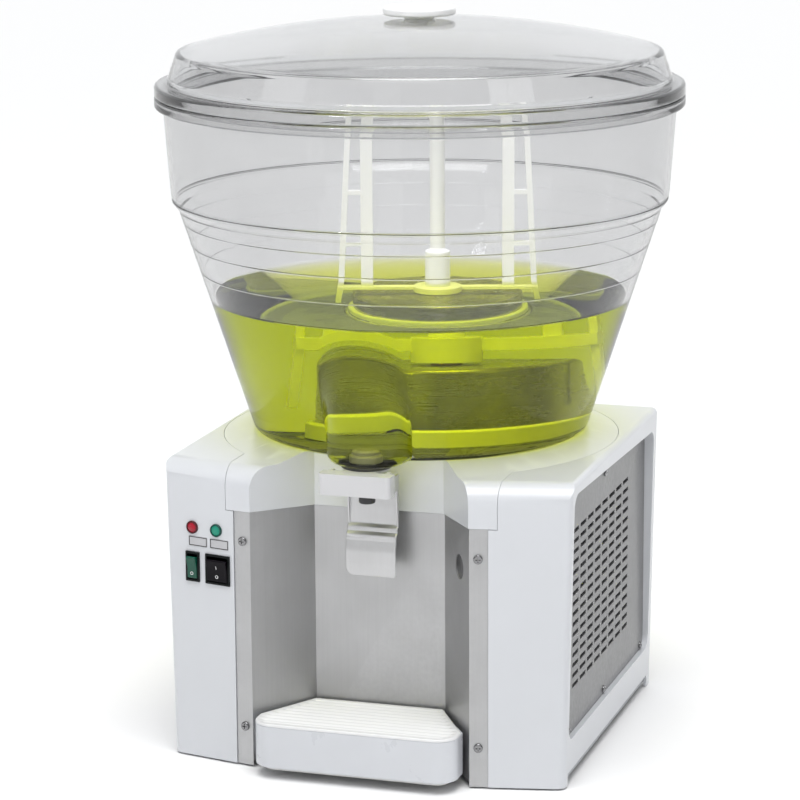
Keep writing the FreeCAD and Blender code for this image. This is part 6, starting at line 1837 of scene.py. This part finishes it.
    def build(self, model: Model) -> None:
        """Make the controls.

        Args:
            model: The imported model.
        """
        self.lamp(self.red_x, "red_lamp", LENS_RED, BEZEL_RED, "lamp_red")
        self.lamp(self.green_x, "green_lamp", LENS_GREEN, BEZEL_GREEN, "lamp_green")
        model.dressed.update(("red_lamp", "green_lamp"))
        self.plate("red_lamp_plate", self.plate_x[0], self.plate_z, ("label_plates",))
        self.plate("green_lamp_plate", self.plate_x[1], self.plate_z)
        model.dressed.add("label_plates")
        model.dress("switch_frames", 0.4)
        for node in ("green_rocker", "black_rocker"):
            model.dress(node, 1.6, 5)
        green_x, black_x = self.switch_x
        self.mark("green_round_mark", Body.GREEN_SWITCH, green_x, Mark.RING, "rocker_green")
        self.mark("black_round_mark", Body.BLACK_SWITCH, black_x, Mark.RING, "rocker_black")
        self.mark("black_bar_mark", Body.BLACK_SWITCH, black_x, Mark.BAR, "rocker_black")


@dataclass
class Cabinet:
    """Outer cabinet: shells, cover, recess, vents, screws, pan, back and feet."""

    shell_edge: float = 0.7
    panel_edge: float = 0.5
    cup_radius: float = 14.5
    cup_depth: float = 6.0
    cup_sheet: float = 1.0
    cup_steps: int = 64
    cup_at: Point = (95.3, -182.4, 216.5)
    cup_turn: float = 33.6

    def hole_cup(self) -> bpy.types.Object:
        """Make a shallow dark grey cup behind the finger hole, so that the hole reads dark grey
        from the front.

        It is a turned cup: floor, wall and rim, laid on its side against the back of the panel.

        Returns:
            The piece.
        """
        radius, depth, sheet = self.cup_radius, self.cup_depth, self.cup_sheet
        corners = [
            (0.0, depth),
            (radius - sheet, depth),
            (radius - sheet, 0.4),
            (radius, 0.4),
            (radius, depth + sheet),
            (0.0, depth + sheet),
        ]
        ring = turned(rounded(corners, [0.0, 2.0, 0.3, 0.3, 2.4, 0.0]), self.cup_steps)
        turn = math.radians(self.cup_turn)
        along = np.array([math.cos(turn), math.sin(turn)])
        x = self.cup_at[0] + ring[..., 2] * along[0] - ring[..., 0] * along[1]
        y = self.cup_at[1] + ring[..., 2] * along[1] + ring[..., 0] * along[0]
        grid = np.stack([x, y, self.cup_at[2] + ring[..., 1]], axis=-1)
        mesh = finished_mesh("finger_hole_cup", grid, grid_quads(*grid.shape[:2]), WALL_CREASE)
        return place(mesh, CUP_GREY, Body.CABINET, "plate_grey")

    def build(self, model: Model) -> None:
        """Dress the cabinet's nodes.

        Args:
            model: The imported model.
        """
        for node in ("left_side_shell", "right_side_shell", "top_cover"):
            model.dress(node, self.shell_edge, 3)
        for node in ("recess_panel", "base_pan", "tray_tongue"):
            model.dress(node, self.panel_edge)
        for node in ("recess_screws", "insert_screws", "back_screws"):
            model.dress(node, 0.15)
        for node in ("rubber_feet", "cable_gland"):
            model.dress(node, 0.8)
        self.hole_cup()


@dataclass
class Stirrer:
    """White stirrer over the cooling drum."""

    edge: float = 0.9

    def build(self, model: Model) -> None:
        """Dress the stirrer and the drum.

        Args:
            model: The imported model.
        """
        for part in ("base", "column", "blade_left", "blade_right"):
            model.dress(f"stirrer_{part}", self.edge)
        model.dress("evaporator_drum", 0.6, limit=WALL_CREASE)
        model.dress("shaft_bush", 0.3)
        model.dress("drum_seal", 0.4)


@dataclass
class Tap:
    """Tap below the nose: housing, gasket, outlet, nut and the bent lever."""

    half_width: float = 26.0
    sheet: float = 2.0
    back_y: float = -160.0
    top_z: float = 288.0
    bottom_z: float = 195.4
    paddle_y: float = -170.0
    left_corner: float = 9.0
    right_corner: float = 4.0
    border: float = 3.6
    groove: float = 0.8
    groove_width: float = 0.8
    paddle_top: float = 232.0
    steps: int = 57
    eye_y: float = -203.0
    eye_z: float = 296.0
    eye_radius: float = 5.0
    arm_edge: float = 0.5

    def lever_path(self) -> Array:
        """Centre line of the bent sheet from its top to the end of the paddle, as y and z.

        Returns:
            Points of the path.
        """
        y, low = self.back_y, self.paddle_y
        corners = [
            (y, self.top_z),
            (y, 247.0),
            (y - 3.6, 243.8),
            (y - 4.2, 241.4),
            (y - 3.9, 239.8),
            (y - 7.6, 236.8),
            (y - 8.4, 234.0),
            (low + 1.6, 231.6),
            (low - 0.3, 222.0),
            (low - 0.1, 208.0),
            (low + 1.0, self.bottom_z),
        ]
        radii = [0.0, 3.0, 2.4, 1.6, 1.4, 2.4, 2.0, 4.0, 30.0, 30.0, 0.0]
        return resampled(rounded(corners, radii, 8), 0.9)

    def build_lever(self) -> bpy.types.Object:
        """Make the lever's sheet: the path carried across its width and closed round its edges.

        A point is path + normal * t * e, where e is 1 on the front and -1 on the back and falls to
        nought over half the sheet's thickness at every edge; the width narrows round the two lower
        corners, and a shallow groove runs round the paddle at the width of its border.

        Returns:
            The piece.
        """
        path = self.lever_path()
        runs = np.linalg.norm(np.diff(path, axis=0), axis=1)
        along = np.concatenate([[0.0], np.cumsum(runs)])
        half = self.sheet / 2
        ends = np.array([0.0, 0.1, 0.35, 0.8, 1.4, 2.2]) * half
        corner_rows = along[-1] - np.linspace(0.0, self.left_corner, 24)
        stations = np.unique(np.concatenate([along, ends, along[-1] - ends, corner_rows]))
        path = np.stack([np.interp(stations, along, path[:, axis]) for axis in (0, 1)], axis=1)
        tangent = np.gradient(path, stations, axis=0)
        tangent /= np.linalg.norm(tangent, axis=1, keepdims=True)
        normal = np.stack([tangent[:, 1], -tangent[:, 0]], axis=1)
        left = stations[-1] - stations
        widths = []
        for corner in (self.left_corner, self.right_corner):
            deep = np.clip(corner - left, 0.0, corner)
            widths.append(self.half_width - corner + np.sqrt(corner**2 - deep**2))
        near = np.minimum(left, stations)
        taper = np.sqrt(1.0 - np.clip(1.0 - near / half, 0.0, 1.0) ** 2)
        unit = np.linspace(-1.0, 1.0, self.steps)[2:-2]
        close = np.array([0.962, 0.985, 0.997, 1.0])
        unit = np.concatenate([-close[::-1], unit, close])
        middle = (widths[1] - widths[0]) / 2
        reach = (widths[1] + widths[0]) / 2
        across = middle[:, None] + reach[:, None] * unit
        edge = np.minimum(across + widths[0][:, None], widths[1][:, None] - across)
        side = np.sqrt(1.0 - np.clip(1.0 - edge / half, 0.0, 1.0) ** 2)
        lift = half * taper[:, None] * side
        inward = np.minimum(edge, left[:, None])
        paddle = (path[:, 1] < self.paddle_top)[:, None]
        hollow = np.exp(-(((inward - self.border) / self.groove_width) ** 2))
        dent = np.where(paddle, self.groove * hollow, 0.0)
        front = (lift - dent)[..., None] * -normal[:, None, :]
        back = lift[..., None] * normal[:, None, :]
        sides = []
        for x, shift in ((across, front), (across[:, ::-1], back[:, ::-1])):
            y, z = path[:, :1] + shift[..., 0], path[:, 1:] + shift[..., 1]
            sides.append(np.stack([x, y, z], axis=-1))
        grid = np.concatenate(sides, axis=1)
        mesh = finished_mesh("lever_sheet", grid, grid_quads(*grid.shape[:2]), TURNED_CREASE)
        return place(mesh, LEVER_STEEL, Body.LEVER, "lever_steel", ("tap_lever",))

    def build_arm(self, side: int) -> bpy.types.Object:
        """Make one side arm from the pivot eye back to the sheet.

        Args:
            side: 1 for the right, -1 for the left.

        Returns:
            The piece.
        """
        angles = np.radians(np.linspace(90.0, 270.0, 17))
        eye = np.stack(
            [
                self.eye_y + self.eye_radius * np.cos(angles),
                self.eye_z + self.eye_radius * np.sin(angles),
            ],
            axis=1,
        )
        back, top = -158.9, 299.2
        tail = [(-166.4, 283.0), (-162.0, 247.0), (back, 243.6), (back, top), (self.eye_y, top)]
        outline = np.vstack([eye, np.array(tail)])
        outer = side * self.half_width
        inner = side * (self.half_width - self.sheet)
        layers = [np.column_stack([np.full(len(outline), x), outline]) for x in (inner, outer)]
        count = len(outline)
        faces = grid_quads(2, count).tolist() + [list(range(count)), list(range(count, 2 * count))]
        name = "lever_arm_right" if side > 0 else "lever_arm_left"
        mesh = finished_mesh(name, np.stack(layers), faces, THIN_CREASE)
        piece = place(mesh, LEVER_STEEL, Body.LEVER, "lever_steel")
        add_bevel(piece, self.arm_edge)
        return piece

    def build(self, model: Model) -> None:
        """Make the tap.

        Args:
            model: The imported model.
        """
        model.dress("tap_housing", 0.5, 3)
        model.dress("tap_nozzle", 1.2, 3)
        model.dress("tap_nut", 0.6, finish=VALVE_GREY)
        model.dress("tap_gasket", 0.6)
        model.dress("valve_plunger", 0.5, finish=VALVE_GREY)
        model.dress("lever_pin", 0.4)
        self.build_lever()
        self.build_arm(-1)
        self.build_arm(1)
        model.dressed.add("tap_lever")


@dataclass
class Tray:
    """Drip tray with its ribbed grid."""

    half_width: float = 104.0
    corner: float = 22.0
    mouth: tuple[float, float] = (104.0, -210.0)
    back: tuple[float, float] = (67.0, -145.5)
    low: float = 55.0
    top: float = 57.5
    ribs: int = 9
    rib_height: float = 1.7
    rib_drop: float = 0.3
    rim: float = 7.0
    rim_round: float = 1.6
    blend: float = 2.0
    inset: float = 0.02
    columns: int = 61
    rows: int = 190

    def half_at(self, y: Array) -> Array:
        """Half width of the grid along its length.

        It has a quarter circle in front, then straight sides, then a taper behind the mouth.

        Args:
            y: Places from the front edge to the back.

        Returns:
            Half widths.
        """
        into = np.clip(self.corner - (y - y[0]), 0.0, self.corner)
        front = self.half_width - self.corner + np.sqrt(self.corner**2 - into**2)
        taper = np.interp(y, [self.mouth[1], self.back[1]], [self.mouth[0], self.back[0]])
        return np.minimum(front, taper)

    def build_grid(self, model: Model) -> bpy.types.Object:
        """Make the grid: rounded ribs across it inside a raised rim.

        The field's height follows (1 - cos(2 pi n s)) / 2, with s running from front to back; the
        rim has the full height and a rounded edge, and the two blend over a short width.

        Args:
            model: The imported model.

        Returns:
            The piece.
        """
        low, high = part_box("drip_grid")
        start, end = low.y / MM + self.inset, high.y / MM - self.inset
        edge_rows = np.array([0.0, 0.15, 0.5, 1.0, 1.6, 2.4, 3.4, 4.6])
        corner_rows = np.array([6.0, 8.0, 10.0, 13.0, 16.0, 19.0, 22.0])
        even_rows = np.linspace(start, end, self.rows)
        y = np.concatenate([start + edge_rows, start + corner_rows, even_rows, end - edge_rows])
        y = np.unique(y)
        half = self.half_at(y)
        unit = np.linspace(-1.0, 1.0, self.columns)[1:-1]
        close = np.array([0.978, 0.99, 0.998, 1.0])
        x = half[:, None] * np.concatenate([-close[::-1], unit, close])
        from_side, from_front, from_back = half[:, None] - np.abs(x), y - start, end - y
        gap = np.minimum(np.minimum(from_side, from_front[:, None]), from_back[:, None])
        share = (y - start - self.rim) / (end - start - 2 * self.rim)
        wave = 0.5 - 0.5 * np.cos(2 * math.pi * self.ribs * share)
        field = self.top - self.rib_drop - self.rib_height * (1.0 - wave[:, None])
        blend = np.clip((gap - self.rim + self.blend / 2) / self.blend, 0.0, 1.0)
        blend = blend * blend * (3 - 2 * blend)
        edge = np.sqrt(1.0 - np.clip(1.0 - gap / self.rim_round, 0.0, 1.0) ** 2)
        foot = self.low + self.rib_drop
        rim = foot + (self.top - self.low - self.rib_drop) * edge
        height = rim * (1 - blend) + field * blend
        height[0] = height[-1] = self.low
        upper = np.stack([x, np.broadcast_to(y[:, None], x.shape), height], axis=-1)
        lower = upper[:, ::-1].copy()
        lower[..., 2] = self.low
        grid = np.concatenate([upper, lower], axis=1)
        mesh = finished_mesh("ribbed_grid", grid, grid_quads(*grid.shape[:2]), RIB_CREASE)
        model.dressed.add("drip_grid")
        # The grid gets the lighter copy of the tray's white, which is painted light on its top.
        return place(mesh, GRID_WHITE_PAINTED_LIGHT, Body.GRID, "tray_white", ("drip_grid",))

    def build(self, model: Model) -> None:
        """Make the tray and its grid.

        Args:
            model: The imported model.
        """
        model.dress("drip_tray", 1.4, 3)
        self.build_grid(model)


@dataclass
class Studio:
    """Pale floor, soft lights and the camera, in metres, degrees and watts."""

    target: Point = (0.0438818, -0.21027, 0.385116)
    azimuth: float = 17.562314
    pitch: float = 12.566121
    roll: float = -0.344823
    distance: float = 3.070684
    focal_pixels: float = 3210.4124
    frame_pixels: float = 800.0
    sensor: float = 36.0
    far: float = 100.0
    floor_half: float = 40.0
    middle: Point = (0.0, 0.0, 0.38)
    spot_blend: float = 0.4
    spot_softness: float = 0.3
    sky_aim: Point = (-0.1, 0.32, -1.0)
    sky_strength: float = 2.3
    sky_spread: float = 44.0
    rear: tuple[float, float] = (-0.302, 0.953)
    surround: tuple[float, float, float, float] = (0.97, 0.985, 1.0, 1.0)
    overhead: float = 0.4

    def build_camera(self) -> None:
        """Place the camera at the photograph's viewing angle."""
        turn, tip, lean = (math.radians(angle) for angle in (self.azimuth, self.pitch, self.roll))
        back = Vector(
            (math.sin(turn) * math.cos(tip), -math.cos(turn) * math.cos(tip), math.sin(tip))
        )
        right = Vector((math.cos(turn), math.sin(turn), 0.0))
        up = back.cross(right)
        across = right * math.cos(lean) + up * math.sin(lean)
        above = up * math.cos(lean) - right * math.sin(lean)
        data = bpy.data.cameras.new("front_camera")
        data.sensor_width = self.sensor
        data.lens = data.sensor_width * self.focal_pixels / self.frame_pixels
        data.clip_end = self.far
        camera = bpy.data.objects.new("front_camera", data)
        axes = Matrix((across, above, back)).transposed().to_4x4()
        camera.matrix_world = Matrix.Translation(Vector(self.target) + back * self.distance) @ axes
        bpy.context.scene.collection.objects.link(camera)
        bpy.context.scene.camera = camera

    def build_floor(self) -> None:
        """Lay a wide pale floor."""
        size = self.floor_half
        mesh = bpy.data.meshes.new("pale_floor")
        corners = [(-size, -size, 0), (size, -size, 0), (size, size, 0), (-size, size, 0)]
        mesh.from_pydata(corners, [], [(0, 1, 2, 3)])
        floor = bpy.data.objects.new("pale_floor", mesh)
        bpy.context.scene.collection.objects.link(floor)
        material = bpy.data.materials.new("pale_floor_paint")
        material.use_nodes = True
        graph = Graph(material.node_tree)
        inputs = {"Base Color": (0.9, 0.9, 0.9, 1.0), "Roughness": 0.9}
        shader = graph.add("ShaderNodeBsdfPrincipled", inputs)
        graph.add("ShaderNodeOutputMaterial", {"Surface": shader.outputs[0]})
        mesh.materials.append(material)
        floor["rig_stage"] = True

    @staticmethod
    def hang(data: bpy.types.Light, place_at: Point, aim: Vector) -> None:
        """Put a light into the scene, turned so that it shines along a direction.

        Args:
            data: The light's data.
            place_at: Its place.
            aim: The direction.
        """
        light = bpy.data.objects.new(data.name, data)
        turn = aim.to_track_quat("-Z", "Y").to_matrix().to_4x4()
        light.matrix_world = Matrix.Translation(place_at) @ turn
        bpy.context.scene.collection.objects.link(light)

    def add_light(
        self, name: str, place_at: Point, size: tuple[float, float], power: float
    ) -> None:
        """Add one soft area light that looks at the middle of the object.

        Args:
            name: Name of the light.
            place_at: Its place.
            size: Its width and height.
            power: Its power.
        """
        data = bpy.data.lights.new(name, "AREA")
        data.shape = "RECTANGLE"
        data.size, data.size_y = size
        data.energy = power
        self.hang(data, place_at, Vector(self.middle) - Vector(place_at))

    def add_spot(
        self, name: str, place_at: Point, aim_at: Point, spread: float, power: float
    ) -> None:
        """Add one soft spot that lights the bowl and leaves the cabinet to the other lights.

        Args:
            name: Name of the light.
            place_at: Its place.
            aim_at: The point that it looks at.
            spread: Full angle of its cone.
            power: Its power.
        """
        data = bpy.data.lights.new(name, "SPOT")
        data.energy = power
        data.spot_size = math.radians(spread)
        data.spot_blend = self.spot_blend
        data.shadow_soft_size = self.spot_softness
        self.hang(data, place_at, Vector(aim_at) - Vector(place_at))

    def add_sky(self) -> None:
        """Add one wide, soft light from above and in front that keeps the floor even."""
        data = bpy.data.lights.new("wide_sky", "SUN")
        data.energy = self.sky_strength
        data.angle = math.radians(self.sky_spread)
        self.hang(data, (0.0, 0.0, 0.0), Vector(self.sky_aim))

    def build_world(self) -> None:
        """Surround the object with soft light: bright behind it, dim beside it and above it."""
        world = bpy.data.worlds.new("soft_surround")
        world.use_nodes = True
        graph = Graph(world.node_tree)
        direction = graph.add("ShaderNodeTexCoord").outputs["Generated"]
        axes = graph.add("ShaderNodeSeparateXYZ", {0: direction}).outputs
        sideways = graph.maths("MULTIPLY", axes["X"], self.rear[0])
        ahead = graph.maths("ADD", sideways, graph.maths("MULTIPLY", axes["Y"], self.rear[1]))
        rear = graph.ranged(ahead, 0.25, 0.75, 0.18, 1.0)
        front = graph.ranged(ahead, -0.7, -0.1, 0.14, 0.0)
        level = graph.maths("ADD", rear, front)
        height = graph.ranged(axes["Z"], 0.3, 0.8, 0.0, 1.0)
        mixed = graph.add("ShaderNodeMix", {0: height, 2: level, 3: self.overhead}).outputs[0]
        inputs = {"Color": self.surround, "Strength": mixed}
        background = graph.add("ShaderNodeBackground", inputs)
        graph.add("ShaderNodeOutputWorld", {"Surface": background.outputs[0]})
        bpy.context.scene.world = world

    def build(self) -> None:
        """Set up the whole studio."""
        self.build_camera()
        self.build_floor()
        self.build_world()
        self.add_light("left_softbox", (-2.2, -2.0, 2.1), (1.2, 1.6), 5.0)
        self.add_light("right_softbox", (2.4, -1.4, 1.7), (1.0, 1.6), 6.0)
        self.add_light("top_softbox", (0.1, 0.3, 2.9), (1.8, 1.8), 10.0)
        self.add_light("front_softbox", (0.3, -2.3, 2.5), (1.6, 0.8), 4.0)
        self.add_spot("bowl_spot", (-0.9, -2.7, 1.5), (0.0, 0.0, 0.53), 9.5, 130.0)
        self.add_sky()
        bpy.context.scene.view_settings.view_transform = "Standard"


def main() -> None:
    """Build the scene: studio, cabinet, controls, bowl, juice, lid, stirrer, tap and tray."""
    logging.basicConfig(level=logging.INFO, format="%(name)s: %(message)s")
    model = Model()
    Studio().build()
    Cabinet().build(model)
    Controls(FrontPlane()).build(model)
    shape = BowlShape()
    juice = Juice(shape)
    Bowl(shape).build(juice.level)
    juice.build()
    lid = Lid()
    lid.build_cover()
    lid.build_knob()
    model.dressed.update(("bowl", "lid", "lid_knob"))
    Stirrer().build(model)
    Tap().build(model)
    Tray().build(model)
    model.coat_the_rest()


if __name__ == "__main__":
    main()
